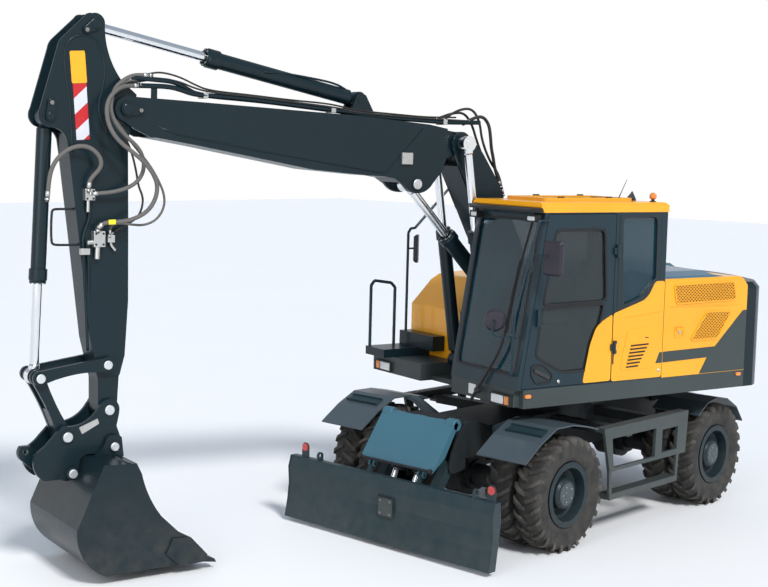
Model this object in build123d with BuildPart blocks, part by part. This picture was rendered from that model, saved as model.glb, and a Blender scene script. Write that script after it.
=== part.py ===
from build123d import *

import os
from math import hypot, sqrt

# Wheeled excavator with a two-piece boom, a front blade and twin tyres.
#
# Undercarriage frame: X forward, Y left, Z up, millimetres, ground at Z = 0.
# The upper structure is modelled in its own frame, whose Z axis is the swing
# axis, and stands turned by SWING_REST, as it is parked. Everything is then
# moved so that the row's origin is on the ground under the outline's middle.

os.makedirs("parts", exist_ok=True)

# Place of the row's origin, seen from the swing axis
MIDDLE_X = 1590
MIDDLE_Y = -115
SWING_REST = -13.6

# Running gaps
PIN_GAP = 0.05
SEAT_GAP = 0.3
SIDE_GAP = 6
BORE_END = 36

# Wheels and axles
WHEELBASE = 2600
AXLE_X = WHEELBASE / 2
TYRE_R = 527
TYRE_W = 272
TWIN_PITCH = 318
OUTER_TYRE_Y = 1120
CARCASS_R = TYRE_R - 26
LUG_COUNT = 20
LUG_W = 54
LUG_LEAN = 60
LUG_ROOT = 60
RIM_R = 262
RIM_FLANGE_R = 299
RIM_W = 212
RIM_WALL = 16
HUB_R = 145
SPINDLE_R = 90
AXLE_R = 105
DIFF_R = 205
KINGPIN_Y = 560
KINGPIN_R = 45
STEER_ARM = 190

# Undercarriage frame
FRAME_HALF_W = 360
FRAME_LOW = 640
FRAME_TOP = 1040
FRAME_FRONT = AXLE_X + 500
FRAME_REAR = -AXLE_X - 460
RING_R = 520
RING_TOP = 1262
DECK_LOW = 1297
AXLE_ARCH = 775

# Mudguards
FENDER_T = 12
FENDER_IN = 700
FENDER_OUT = 1245

# Blade and its parallelogram arms
BLADE_W = 2500
BLADE_H = 590
BLADE_LOW = 45
BLADE_X = AXLE_X + 1161
BLADE_LEAN = 76
BLADE_T = 26
EYE_HOLE_R = 20
ARM_LOW = (AXLE_X + 635, 730)
ARM_HIGH = (AXLE_X + 640, 1120)
ARM_REACH = (315, -430)
BLADE_ARM_Y = 330
BLADE_ARM_W = 90
COVER_HALF_W = 440
BLADE_CYL_Y = 130
BLADE_CYL_BASE = (AXLE_X + 645, 1010)
BLADE_CYL_ROD = (AXLE_X + 905, 470)
BLADE_BARREL = 395
BLADE_ROD_IN = 400
COVER_PIN_R = 16

# Steps
STEP_Y = 1250
STEP_W = 110
STEP_TOP = 1062
STEP_LOW = 640
STEP_FOOT = 370
STEP_T = 40
STEP_FRONT = AXLE_X - 512
STEP_REAR = -AXLE_X + 590
STEP_ARMS = (-430, 330)
OUTRIGGER_END = 1130

# Upper structure
HALF_W = 1250
DECK_TOP = 1345
SKIRT_TOP = 1465
SKIRT_REAR = -1524
DECK_FRONT = 1334
CAB_IN_Y = 266
CAB_REAR = -370
CAB_TOP = 3060
ROOF_TOP = 3150
WALL = 45
HOUSE_TOP = 2412
HOUSE_REAR = -1470
VISOR_LOW = 3066
TAIL_R = 2200
TAIL_SIDE_X = -1655
TAIL_TOP = 2350
TAIL_CROWN = 60
TAIL_CORNER = (-1830, HALF_W - 120)
TAIL_BACK = (-1960, HALF_W - 350)
HOUSE_FRONT = -376
HOUSE_IN_Y = -400
HOUSE_WALL = 40
GRILLE_DEPTH = 12
GRILLE_PITCH = 70
GRILLE_BAR = 22
BOX_TOP = 1550
BOX_STEP_TOP = 1693
POLE_Y = -HALF_W + 50
POLE_R = 14
RAIL_R = 16
DOOR_AXIS = (270, HALF_W + 20)
DOOR_HINGES = (1800, 2700)
FOOT_PLATE_IN = 156
FOOT_PLATE_OUT = 198

# Working gear: side views (X, Z) in the upper frame, on the plane BOOM_Y
BOOM_Y = -80
FOOT = (320, 1980)
BOOM_JOINT = (1240, 3660)
ARM_PIVOT = (4670, 3868)
BOOM_CYL_BASE = (900, 1500)
ADJUST_BASE = (700, 2190)
ADJUST_ROD = (1745, 3270)
ARM_CYL_BASE = (2330, 4035)
ARM_TOP = (4932, 4540)
ARM_TIP = (4798, 1374)
GUIDE_PIN = (4822, 1757)
LINK_PIN = (5400, 1682)
COUPLER_PIN = (5164, 1178)
BUCKET_CYL_BASE = (5310, 3790)
BUCKET_PIN_1 = (4768, 1070)
BUCKET_PIN_2 = (5132, 878)

UPPER_BOOM_HALF = 170
TONGUE_HALF = 140
LOWER_BOOM_HALF = 150
FORK_T = 30
FORK_POCKET_R = 216
BOSS_R = 112
BOX_START = 1405
BOX_END = 4400
EAR_T = 24
LUG_T = 36
FOOT_PIN_R = 50
JOINT_PIN_R = 50
ARM_PIN_R = 50
ARM_HALF = 122
ARM_EAR_T = 22
ARM_TIP_HALF = 100
TIP_PIN_R = 40
GUIDE_PIN_R = 36
GUIDE_IN = 128
GUIDE_OUT = 163
LINK_PIN_R = 36
LINK_BAR_IN = 58
LINK_HALF = 98
LINK_WEB = 290
COUPLER_IN = 106
COUPLER_OUT = 141
SHACKLE = (5476, 1058)
SHACKLE_R = 24
SHACKLE_LUG_HALF = 25
BUCKET_PIN_R = 35
BUCKET_BORE_R = 36
BUCKET_W = 1080
BUCKET_EAR_T = 36
BUCKET_WALL = 18
BOOM_EYE_HALF = 44
ADJUST_EYE_HALF = 50
ARM_EYE_HALF = 48

# Cylinders: barrel radius, rod radius, eye radius, pin radius
BOOM_CYL_Y = 260
BOOM_CYL = (65, 40, 74, 38)
ADJUST_CYL = (78, 42, 76, 40)
ARM_CYL = (70, 42, 74, 38)
BUCKET_CYL = (62, 38, 70, 36)
BLADE_CYL = (44, 26, 44, 24)
# barrel lengths from the base pin, and rod lengths inside from the eye
BOOM_BARREL = 1330
BOOM_ROD_IN = 1350
ADJUST_BARREL = 800
ADJUST_ROD_IN = 900
ARM_BARREL = 1577
ARM_ROD_IN = 1640
BUCKET_BARREL = 1333
BUCKET_ROD_IN = 1400

GROUND = Location((-MIDDLE_X, -MIDDLE_Y, 0))
SWUNG = GROUND * Location((0, 0, 0), (0, 0, SWING_REST))


def side(y=0):
    """The side-view plane at y: sketch X is forward, sketch Y is up."""
    return Plane.XZ.offset(-y)


def across(x=0):
    """The front-view plane at x: sketch X is left, sketch Y is up."""
    return Plane.YZ.offset(x)


def along(start, end, y=0):
    """A side-view plane whose sketch X runs from one (X, Z) point to another."""
    return Plane(
        origin=(start[0], y, start[1]),
        x_dir=(end[0] - start[0], 0, end[1] - start[1]),
        z_dir=(0, -1, 0),
    )


def span(start, end):
    """Distance between two (X, Z) points."""
    return hypot(end[0] - start[0], end[1] - start[1])


def slab(plane, points, half, mode=Mode.ADD):
    """A closed outline on a plane, pushed half its thickness each way."""
    with BuildSketch(plane) as outline:
        with BuildLine():
            Polyline(*points, close=True)
        make_face()
    extrude(outline.sketch, amount=half, both=True, mode=mode)


def contour(plane, points, half, mode=Mode.ADD):
    """Like slab, but a point in brackets is the middle of an arc between its neighbours."""
    with BuildSketch(plane) as outline:
        with BuildLine():
            index = 0
            while index < len(points):
                start, middle, end = (points[(index + step) % len(points)] for step in range(3))
                if isinstance(middle, list):
                    ThreePointArc(start, middle[0], end)
                    index += 2
                else:
                    Line(start, middle)
                    index += 1
        make_face()
    extrude(outline.sketch, amount=half, both=True, mode=mode)


def disc(plane, centre, radius, half, mode=Mode.ADD):
    """A round boss or a round hole, half its length each way from the plane."""
    with BuildSketch(plane) as outline:
        with Locations(centre):
            Circle(radius)
    extrude(outline.sketch, amount=half, both=True, mode=mode)


def write(piece, label, place=GROUND):
    """Move a finished piece to its place in the row, name it and save it."""
    piece.part = place * piece.part
    piece.part.label = label
    export_step(piece.part, f"parts/{label}.step")


# Cylinders: a barrel hinged on its base pin, and a rod with its eye
def make_barrel(base, rod, y, sizes, length, eye_half):
    """Barrel with its base eye, gland head and the bore that the rod runs in."""
    radius, rod_r, eye_r, pin_r = sizes
    plane = along(base, rod, y)
    head = 0.06 * length + 20
    with BuildPart() as piece:
        with BuildSketch(plane):
            with BuildLine():
                Polyline(
                    (eye_r * 0.6, 0),
                    (eye_r * 0.6, eye_half - 6),
                    (eye_r + 4, eye_half - 6),
                    (eye_r + 30, radius),
                    (length - head, radius),
                    (length - head, radius * 1.2),
                    (length - 12, radius * 1.2),
                    (length, radius * 1.06),
                    (length, rod_r + PIN_GAP),
                    (eye_r + BORE_END, rod_r + PIN_GAP),
                    (eye_r + BORE_END, 0),
                    close=True,
                )
            make_face()
        revolve(axis=Axis(plane.origin, plane.x_dir))
        disc(plane, (0, 0), eye_r, eye_half)
        disc(plane, (0, 0), pin_r + PIN_GAP, eye_half + 1, Mode.SUBTRACT)
    return piece


def make_rod(base, rod, y, sizes, inside, eye_half, pin_half):
    """Chrome rod, its eye and the pin that the eye carries."""
    rod_r, eye_r, pin_r = sizes[1:]
    plane = along(base, rod, y)
    reach = span(base, rod)
    with BuildPart() as piece:
        with BuildSketch(plane):
            with BuildLine():
                Polyline(
                    (reach - inside, 0),
                    (reach - inside, rod_r),
                    (reach - eye_r - 30, rod_r),
                    (reach - eye_r - 16, rod_r * 1.2),
                    (reach - eye_r * 0.6, rod_r * 1.2),
                    (reach - eye_r * 0.6, 0),
                    close=True,
                )
            make_face()
        revolve(axis=Axis(plane.origin, plane.x_dir))
        disc(plane, (reach, 0), eye_r, eye_half)
        disc(plane, (reach, 0), pin_r, pin_half)
    return piece


# Wheels: each body is a pair of lugged tyres on one drum
LUGS = []
for lug_side in (-1, 1):
    # a slanting bar from the tread's middle to its shoulder, made over the axle
    lug_top = sqrt(TYRE_R**2 - (LUG_LEAN + LUG_W / 2) ** 2)
    with BuildPart() as lug:
        with BuildSketch(Plane.XY.offset(CARCASS_R - LUG_ROOT)):
            with BuildLine():
                Polyline(
                    (-LUG_W / 2, lug_side * 3),
                    (LUG_W / 2, lug_side * 3),
                    (LUG_LEAN + LUG_W / 2, lug_side * (TYRE_W / 2 - 9)),
                    (LUG_LEAN - LUG_W / 2, lug_side * (TYRE_W / 2 - 9)),
                    close=True,
                )
            make_face()
        extrude(amount=lug_top - CARCASS_R + LUG_ROOT)
    for number in range(LUG_COUNT):
        turn = (number + lug_side / 4) * 360 / LUG_COUNT
        LUGS.append(lug.part.rotate(Axis.Y, turn))

with BuildPart() as one_tyre:
    half = TYRE_W / 2
    bead = RIM_W / 2 - SEAT_GAP
    with BuildSketch(Plane.YZ):
        with BuildLine():
            crown = Polyline(
                (-half + 22, CARCASS_R - 26),
                (-half + 56, CARCASS_R),
                (half - 56, CARCASS_R),
                (half - 22, CARCASS_R - 26),
            )
            far_wall = ThreePointArc(crown @ 1, (half, 400), (bead, RIM_FLANGE_R + 3))
            near_wall = ThreePointArc(crown @ 0, (-half, 400), (-bead, RIM_FLANGE_R + 3))
            Polyline(
                far_wall @ 1,
                (bead, RIM_R + SEAT_GAP),
                (-bead, RIM_R + SEAT_GAP),
                near_wall @ 1,
            )
        make_face()
    revolve(axis=Axis.Y)
    add(LUGS)

WHEELS = [
    # name, axle X, side
    ("front_left", AXLE_X, 1),
    ("front_right", AXLE_X, -1),
    ("rear_left", -AXLE_X, 1),
    ("rear_right", -AXLE_X, -1),
]
for wheel_name, axle_x, hand in WHEELS:
    wheel_axis = Axis((axle_x, 0, TYRE_R), (0, 1, 0))
    with BuildPart() as tyres:
        for twin_y in (OUTER_TYRE_Y, OUTER_TYRE_Y - TWIN_PITCH):
            add(Location((axle_x, hand * twin_y, TYRE_R)) * one_tyre.part)
    write(tyres, f"tyres_{wheel_name}")

    with BuildPart() as rims:
        outer_face = OUTER_TYRE_Y + RIM_W / 2
        inner_face = OUTER_TYRE_Y - TWIN_PITCH - RIM_W / 2
        hub_face = outer_face - 18
        disc_y = OUTER_TYRE_Y - 20
        with BuildSketch(Plane.YZ.offset(axle_x)):
            with BuildLine():
                Polyline(
                    (hand * outer_face, TYRE_R + RIM_FLANGE_R),
                    (hand * (outer_face + 8), TYRE_R + RIM_FLANGE_R),
                    (hand * (outer_face + 8), TYRE_R + RIM_R - RIM_WALL),
                    (hand * (disc_y + 40), TYRE_R + RIM_R - 2 * RIM_WALL),
                    (hand * disc_y, TYRE_R + HUB_R + 30),
                    (hand * disc_y, TYRE_R + HUB_R),
                    (hand * (hub_face - 20), TYRE_R + HUB_R),
                    (hand * hub_face, TYRE_R + HUB_R - 20),
                    (hand * hub_face, TYRE_R),
                    (hand * (disc_y - 90), TYRE_R),
                    (hand * (disc_y - 90), TYRE_R + SPINDLE_R + PIN_GAP),
                    (hand * (inner_face + 20), TYRE_R + SPINDLE_R + PIN_GAP),
                    (hand * (inner_face + 20), TYRE_R + SPINDLE_R + 40),
                    (hand * (disc_y - 60), TYRE_R + HUB_R),
                    (hand * (disc_y - 60), TYRE_R + RIM_R - 2 * RIM_WALL),
                    (hand * (inner_face - 8), TYRE_R + RIM_R - RIM_WALL),
                    (hand * (inner_face - 8), TYRE_R + RIM_FLANGE_R),
                    (hand * inner_face, TYRE_R + RIM_FLANGE_R),
                    (hand * inner_face, TYRE_R + RIM_R),
                    (hand * outer_face, TYRE_R + RIM_R),
                    close=True,
                )
            make_face()
        revolve(axis=wheel_axis)
    write(rims, f"rims_{wheel_name}")

# Front axle, with the steering cylinder's barrel behind it
KING_HALF = 150
AXLE_CLEAR = 8
with BuildPart() as front_axle:
    with BuildSketch(Plane.XZ):
        with Locations((AXLE_X, TYRE_R)):
            Circle(AXLE_R)
    extrude(amount=KINGPIN_Y - KINGPIN_R - 30, both=True)
    disc(side(0), (AXLE_X, TYRE_R), DIFF_R, 120)
    disc(side(0), (AXLE_X, TYRE_R), DIFF_R - 60, 190)
    with BuildSketch(Plane.XY.offset(TYRE_R)):
        with Locations((AXLE_X, KINGPIN_Y), (AXLE_X, -KINGPIN_Y)):
            Circle(KINGPIN_R + 32)
    extrude(amount=KING_HALF - 44 - AXLE_CLEAR, both=True)
    with BuildSketch(Plane.XY.offset(TYRE_R)):
        with Locations((AXLE_X, KINGPIN_Y), (AXLE_X, -KINGPIN_Y)):
            Circle(KINGPIN_R)
    extrude(amount=KING_HALF, both=True)
    # pivot saddle that carries the frame
    slab(
        side(0),
        [
            (AXLE_X - 150, TYRE_R + 60),
            (AXLE_X + 150, TYRE_R + 60),
            (AXLE_X + 110, AXLE_ARCH - SEAT_GAP),
            (AXLE_X - 110, AXLE_ARCH - SEAT_GAP),
        ],
        170,
    )
    # steering cylinder on its two brackets
    steer_x = AXLE_X - STEER_ARM
    disc(side(0), (steer_x, TYRE_R - 60), 46, 250)
    disc(side(0), (steer_x, TYRE_R - 60), 24 + PIN_GAP, 251, Mode.SUBTRACT)
    for bracket_y in (-200, 200):
        slab(
            side(bracket_y),
            [
                (steer_x - 30, TYRE_R - 30),
                (steer_x + 40, TYRE_R - 80),
                (AXLE_X - 60, TYRE_R - 70),
                (AXLE_X - 60, TYRE_R + 70),
            ],
            20,
        )
        disc(side(bracket_y), (steer_x, TYRE_R - 60), 24 + PIN_GAP, 21, Mode.SUBTRACT)
write(front_axle, "front_axle")

with BuildPart() as steering_rod:
    disc(side(0), (steer_x, TYRE_R - 60), 24, KINGPIN_Y - 30)
    for end in (-1, 1):
        with BuildSketch(Plane.XY.offset(TYRE_R - 60)):
            with Locations((steer_x, end * (KINGPIN_Y - 22))):
                Circle(34)
        extrude(amount=30, both=True)
write(steering_rod, "steering_rod")

for hand, knuckle_label in ((1, "knuckle_left"), (-1, "knuckle_right")):
    with BuildPart() as knuckle:
        # two kingpin bosses joined by the outer web that holds the spindle
        for up in (-1, 1):
            with BuildSketch(Plane.XY.offset(TYRE_R + up * (KING_HALF - 20))):
                with Locations((AXLE_X, hand * KINGPIN_Y)):
                    Circle(KINGPIN_R + 30)
            extrude(amount=20, both=True)
            with BuildSketch(Plane.XY.offset(TYRE_R + up * (KING_HALF - 20))):
                with Locations((AXLE_X, hand * (KINGPIN_Y + 60))):
                    Rectangle(100, 80)
            extrude(amount=20, both=True)
        slab(
            side(hand * (KINGPIN_Y + 92)),
            [
                (AXLE_X - 70, TYRE_R - KING_HALF),
                (AXLE_X + 70, TYRE_R - KING_HALF),
                (AXLE_X + 90, TYRE_R),
                (AXLE_X + 70, TYRE_R + KING_HALF),
                (AXLE_X - 70, TYRE_R + KING_HALF),
                (AXLE_X - 90, TYRE_R),
            ],
            10,
        )
        spindle_end = OUTER_TYRE_Y - 20 - 90 - 10
        spindle_start = KINGPIN_Y + 92
        disc(
            side(hand * (spindle_start + spindle_end) / 2),
            (AXLE_X, TYRE_R),
            SPINDLE_R,
            (spindle_end - spindle_start) / 2,
        )
        # steering arm, over the rod's ball end
        slab(
            Plane.XY.offset(TYRE_R - KING_HALF + 20),
            [
                (AXLE_X, hand * (KINGPIN_Y + 92)),
                (AXLE_X, hand * (KINGPIN_Y + 20)),
                (steer_x - 30, hand * (KINGPIN_Y - 50)),
                (steer_x - 30, hand * (KINGPIN_Y + 10)),
                (AXLE_X - 60, hand * (KINGPIN_Y + 92)),
            ],
            20,
        )
        with BuildSketch(Plane.XY.offset(TYRE_R)):
            with Locations((AXLE_X, hand * KINGPIN_Y)):
                Circle(KINGPIN_R + PIN_GAP)
        extrude(amount=KING_HALF + 1, both=True, mode=Mode.SUBTRACT)
    write(knuckle, knuckle_label)

with BuildPart() as rear_axle:
    rear_x = -AXLE_X
    disc(side(0), (rear_x, TYRE_R), AXLE_R, KINGPIN_Y + 100)
    disc(side(0), (rear_x, TYRE_R), DIFF_R, 130)
    disc(side(0), (rear_x, TYRE_R), DIFF_R - 60, 210)
    disc(side(0), (rear_x, TYRE_R), SPINDLE_R, spindle_end)
    for hand in (-1, 1):
        disc(side(hand * (KINGPIN_Y + 80)), (rear_x, TYRE_R), AXLE_R + 45, 18)
        slab(
            side(hand * 300),
            [
                (rear_x - 150, TYRE_R + 40),
                (rear_x + 150, TYRE_R + 40),
                (rear_x + 120, AXLE_ARCH - SEAT_GAP),
                (rear_x - 120, AXLE_ARCH - SEAT_GAP),
            ],
            40,
        )
write(rear_axle, "rear_axle")

# Undercarriage frame: a box with arches over both axles and the swing pedestal
with BuildPart() as chassis:
    arch_half = 270
    slab(
        side(0),
        [
            (FRAME_REAR, AXLE_ARCH),
            (-AXLE_X + arch_half, AXLE_ARCH),
            (-AXLE_X + arch_half + 90, FRAME_LOW),
            (AXLE_X - arch_half - 90, FRAME_LOW),
            (AXLE_X - arch_half, AXLE_ARCH),
            (FRAME_FRONT, AXLE_ARCH),
            (FRAME_FRONT, FRAME_TOP + 60),
            (FRAME_FRONT - 260, FRAME_TOP + 60),
            (FRAME_FRONT - 420, FRAME_TOP),
            (FRAME_REAR + 60, FRAME_TOP),
            (FRAME_REAR, FRAME_TOP - 80),
        ],
        FRAME_HALF_W,
    )
    # pedestal under the swing ring, wider at its top
    with BuildSketch(Plane.XY.offset(FRAME_TOP - 120)):
        Circle(RING_R - 100)
    with BuildSketch(Plane.XY.offset(RING_TOP - 70)):
        Circle(RING_R)
    loft()
    with BuildSketch(Plane.XY.offset(RING_TOP - 70)):
        Circle(RING_R)
    extrude(amount=70)
    # outriggers that carry the steps
    for hand in (-1, 1):
        for arm_x in STEP_ARMS:
            with BuildSketch(Plane.XY.offset(STEP_TOP - STEP_T - 100)):
                with Locations((arm_x, hand * (FRAME_HALF_W + OUTRIGGER_END - 10) / 2)):
                    Rectangle(120, OUTRIGGER_END - FRAME_HALF_W + 10)
            extrude(amount=90)
    # front plates that hold the blade's arms, cover and cylinders
    for plate_y in (-BLADE_ARM_Y - 60, -BLADE_ARM_Y + 60, BLADE_ARM_Y - 60, BLADE_ARM_Y + 60):
        slab(
            side(plate_y),
            [
                (FRAME_FRONT - 40, ARM_LOW[1] - 40),
                (ARM_LOW[0] - 20, ARM_LOW[1] - 62),
                (ARM_LOW[0] + 40, ARM_LOW[1] - 50),
                (ARM_LOW[0] + 58, ARM_LOW[1]),
                (ARM_LOW[0] + 30, ARM_LOW[1] + 120),
                (ARM_LOW[0] - 60, ARM_LOW[1] + 300),
                (FRAME_FRONT - 40, FRAME_TOP + 60),
            ],
            9,
        )
    for hand in (-1, 1):
        disc(side(hand * BLADE_ARM_Y), ARM_LOW, 32, 70)
    for hand in (-1, 1):
        for hinge_y in (BLADE_CYL_Y - 62, BLADE_CYL_Y + 62, 320):
            slab(
                side(hand * hinge_y),
                [
                    (FRAME_FRONT - 30, FRAME_TOP - 60),
                    (BLADE_CYL_BASE[0] + 10, BLADE_CYL_BASE[1] - 42),
                    (BLADE_CYL_BASE[0] + 38, BLADE_CYL_BASE[1] - 10),
                    (ARM_HIGH[0] + 24, ARM_HIGH[1] - 12),
                    (ARM_HIGH[0] - 10, ARM_HIGH[1] + 25),
                    (FRAME_FRONT - 30, FRAME_TOP + 58),
                ],
                9,
            )
            disc(side(hand * hinge_y), ARM_HIGH, COVER_PIN_R + 10, 9)
        disc(side(hand * BLADE_CYL_Y), BLADE_CYL_BASE, 24, 66)
    disc(side(0), ARM_HIGH, COVER_PIN_R, 340)
    # gearbox and the front and rear propeller shafts
    disc(across(0), (0, FRAME_LOW - 60), 130, 170)
    for shaft_x in (-1, 1):
        disc(
            across(shaft_x * (170 + AXLE_X - DIFF_R - 12) / 2),
            (0, FRAME_LOW - 60),
            38,
            (AXLE_X - DIFF_R - 12 - 170) / 2,
        )
write(chassis, "chassis")

# Mudguards: bent plates over the twin tyres
FENDERS = [
    # axle X, then (X from the axle, Z) along the plate's top
    (AXLE_X, [(-420, 1080), (-260, 1124), (-20, 1168), (230, 1170), (460, 1062), (685, 915)]),
    (-AXLE_X, [(-540, 820), (-400, 985), (-200, 1092), (0, 1126), (200, 1092), (370, 985)]),
]
with BuildPart() as fenders:
    for fender_x, steps_along in FENDERS:
        crest = [(fender_x + x, z) for x, z in steps_along]
        under = [(x, z - FENDER_T) for x, z in reversed(crest)]
        for hand in (-1, 1):
            slab(
                side(hand * (FENDER_OUT + FENDER_IN) / 2),
                crest + under,
                (FENDER_OUT - FENDER_IN) / 2,
            )
            # bracket back to the frame, over the tyre
            bracket_x, bracket_z = crest[2]
            slab(
                across(bracket_x),
                [
                    (hand * (FRAME_HALF_W + SEAT_GAP), FRAME_TOP - 100),
                    (hand * (FRAME_HALF_W + SEAT_GAP), FRAME_TOP - 10),
                    (hand * (FENDER_IN - 60), bracket_z - FENDER_T / 2),
                    (hand * (FENDER_IN + 140), bracket_z - FENDER_T / 2),
                    (hand * (FENDER_IN + 140), bracket_z - FENDER_T - 8),
                    (hand * (FENDER_IN - 40), bracket_z - FENDER_T - 34),
                ],
                45,
            )
write(fenders, "fenders")

# Steps: a frame with two windows, a lower rung and a tread on top
STEP_WINDOWS = [
    [(STEP_FRONT - 178, 676), (STEP_FRONT - 140, 955), (-118, 955), (-105, 676)],
    [(-232, 698), (-232, 925), (STEP_REAR + 190, 925), (STEP_REAR + 200, 698)],
]
for hand, step_label in ((1, "step_left"), (-1, "step_right")):
    with BuildPart() as step:
        plate_y = hand * (STEP_Y - 15)
        slab(
            side(plate_y),
            [
                (STEP_FRONT - 113, STEP_LOW),
                (STEP_FRONT, STEP_TOP),
                (STEP_REAR, STEP_TOP),
                (STEP_REAR + 30, STEP_LOW),
            ],
            15,
        )
        for window in STEP_WINDOWS:
            slab(side(plate_y), window, 16, Mode.SUBTRACT)
        # top tread
        with BuildSketch(Plane.XY.offset(STEP_TOP - STEP_T)):
            with Locations(((STEP_FRONT + STEP_REAR) / 2, hand * (STEP_Y - STEP_W / 2))):
                Rectangle(STEP_FRONT - STEP_REAR - 18, STEP_W)
        extrude(amount=STEP_T)
        # lower rung on two posts
        for post_x, lean in ((STEP_FRONT - 148, 20), (STEP_REAR + 190, -20)):
            slab(
                side(plate_y),
                [
                    (post_x - 22, STEP_FOOT),
                    (post_x + 22, STEP_FOOT),
                    (post_x + 22 + lean, STEP_LOW + 20),
                    (post_x - 22 + lean, STEP_LOW + 20),
                ],
                12,
            )
        with BuildSketch(Plane.XY.offset(STEP_FOOT)):
            with Locations(((STEP_FRONT + STEP_REAR) / 2 + 21, hand * (STEP_Y - 60))):
                Rectangle(STEP_FRONT - STEP_REAR - 298, 120)
        extrude(amount=58)
        # arms that bolt to the frame's outriggers
        arm_start = OUTRIGGER_END + SEAT_GAP
        for arm_x in STEP_ARMS:
            with BuildSketch(Plane.XY.offset(STEP_TOP - STEP_T - 90)):
                with Locations((arm_x, hand * (STEP_Y - 20 + arm_start) / 2)):
                    Rectangle(90, STEP_Y - 20 - arm_start)
            extrude(amount=90)
    write(step, step_label)

# Blade, its two push arms, the cover that is the upper link, and two cylinders
BLADE_PIN_LOW = (ARM_LOW[0] + ARM_REACH[0], ARM_LOW[1] + ARM_REACH[1])
BLADE_PIN_HIGH = (ARM_HIGH[0] + ARM_REACH[0], ARM_HIGH[1] + ARM_REACH[1])
with BuildPart() as blade:
    top_z = BLADE_LOW + BLADE_H
    fold_z = 335
    slab(
        side(0),
        [
            (BLADE_X, BLADE_LOW),
            (BLADE_X - 34, fold_z - 120),
            (BLADE_X - 52, fold_z + 30),
            (BLADE_X - 40, top_z - 110),
            (BLADE_X - BLADE_LEAN + 10, top_z - 18),
            (BLADE_X - BLADE_LEAN, top_z),
            (BLADE_X - BLADE_LEAN - 60, top_z),
            (BLADE_X - BLADE_LEAN - 60, top_z - 14),
            (BLADE_X - BLADE_LEAN - 16, top_z - 26),
            (BLADE_X - 40 - BLADE_T, top_z - 116),
            (BLADE_X - 52 - BLADE_T, fold_z + 30),
            (BLADE_X - 34 - BLADE_T, fold_z - 126),
            (BLADE_X - BLADE_T - 4, BLADE_LOW + 8),
        ],
        BLADE_W / 2 - 12,
    )
    for hand in (-1, 1):
        slab(
            side(hand * (BLADE_W / 2 - 6)),
            [
                (BLADE_X + 2, BLADE_LOW),
                (BLADE_X - 30, fold_z - 120),
                (BLADE_X - 46, fold_z + 30),
                (BLADE_X - 34, top_z - 110),
                (BLADE_X - BLADE_LEAN + 12, top_z),
                (BLADE_X - BLADE_LEAN - 60, top_z),
                (BLADE_X - 150, fold_z + 120),
                (BLADE_X - 90, BLADE_LOW),
            ],
            6,
        )
        # brackets for the push arms
        for ear in (-1, 1):
            slab(
                side(hand * BLADE_ARM_Y + ear * 58),
                [
                    (BLADE_X - 52, fold_z - 150),
                    (BLADE_X - 66, fold_z + 100),
                    (BLADE_PIN_LOW[0] - 10, BLADE_PIN_LOW[1] + 46),
                    (BLADE_PIN_LOW[0] - 46, BLADE_PIN_LOW[1]),
                    (BLADE_PIN_LOW[0] - 20, BLADE_PIN_LOW[1] - 44),
                ],
                9,
            )
        disc(side(hand * BLADE_ARM_Y), BLADE_PIN_LOW, 28, 66)
        # brackets for the lift cylinders
        for ear in (-1, 1):
            slab(
                side(hand * BLADE_CYL_Y + ear * 58),
                [
                    (BLADE_X - 66, fold_z - 40),
                    (BLADE_X - 60, fold_z + 160),
                    (BLADE_CYL_ROD[0], BLADE_CYL_ROD[1] + 48),
                    (BLADE_CYL_ROD[0] - 44, BLADE_CYL_ROD[1]),
                    (BLADE_CYL_ROD[0] - 10, BLADE_CYL_ROD[1] - 46),
                ],
                8,
            )
    # hinge ears for the cover's low edge
    for ear_y in (-300, 300):
        slab(
            side(ear_y),
            [
                (BLADE_X - BLADE_LEAN - 60, top_z - 4),
                (BLADE_X - BLADE_LEAN - 58, top_z - 60),
                (BLADE_X - 66, top_z - 200),
                (BLADE_PIN_HIGH[0] - 16, BLADE_PIN_HIGH[1] - 26),
                (BLADE_PIN_HIGH[0] - 26, BLADE_PIN_HIGH[1]),
                (BLADE_PIN_HIGH[0], BLADE_PIN_HIGH[1] + 26),
                (BLADE_PIN_HIGH[0] + 26, BLADE_PIN_HIGH[1]),
            ],
            12,
        )
        disc(side(ear_y), BLADE_PIN_HIGH, 16, 34)
    # lifting eyes on the top edge
    for eye_y in (-890, 1000):
        with BuildSketch(side(eye_y)):
            with Locations((BLADE_X - BLADE_LEAN - 30, top_z + 44)):
                Circle(34)
            with Locations((BLADE_X - BLADE_LEAN - 30, top_z + 14)):
                Rectangle(68, 60)
            with Locations((BLADE_X - BLADE_LEAN - 30, top_z + 44)):
                Circle(EYE_HOLE_R, mode=Mode.SUBTRACT)
        extrude(amount=11, both=True)
write(blade, "blade")

with BuildPart() as blade_arms:
    for hand in (-1, 1):
        arm_plane = along(ARM_LOW, BLADE_PIN_LOW, hand * BLADE_ARM_Y)
        reach = span(ARM_LOW, BLADE_PIN_LOW)
        slab(arm_plane, [(0, -44), (reach, -34), (reach, 34), (reach * 0.5, 58), (0, 48)], 45)
        disc(arm_plane, (0, 0), 50, 45)
        disc(arm_plane, (reach, 0), 42, 45)
        disc(arm_plane, (0, 0), 32 + PIN_GAP, 46, Mode.SUBTRACT)
        disc(arm_plane, (reach, 0), 28 + PIN_GAP, 46, Mode.SUBTRACT)
write(blade_arms, "blade_arms")

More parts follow.
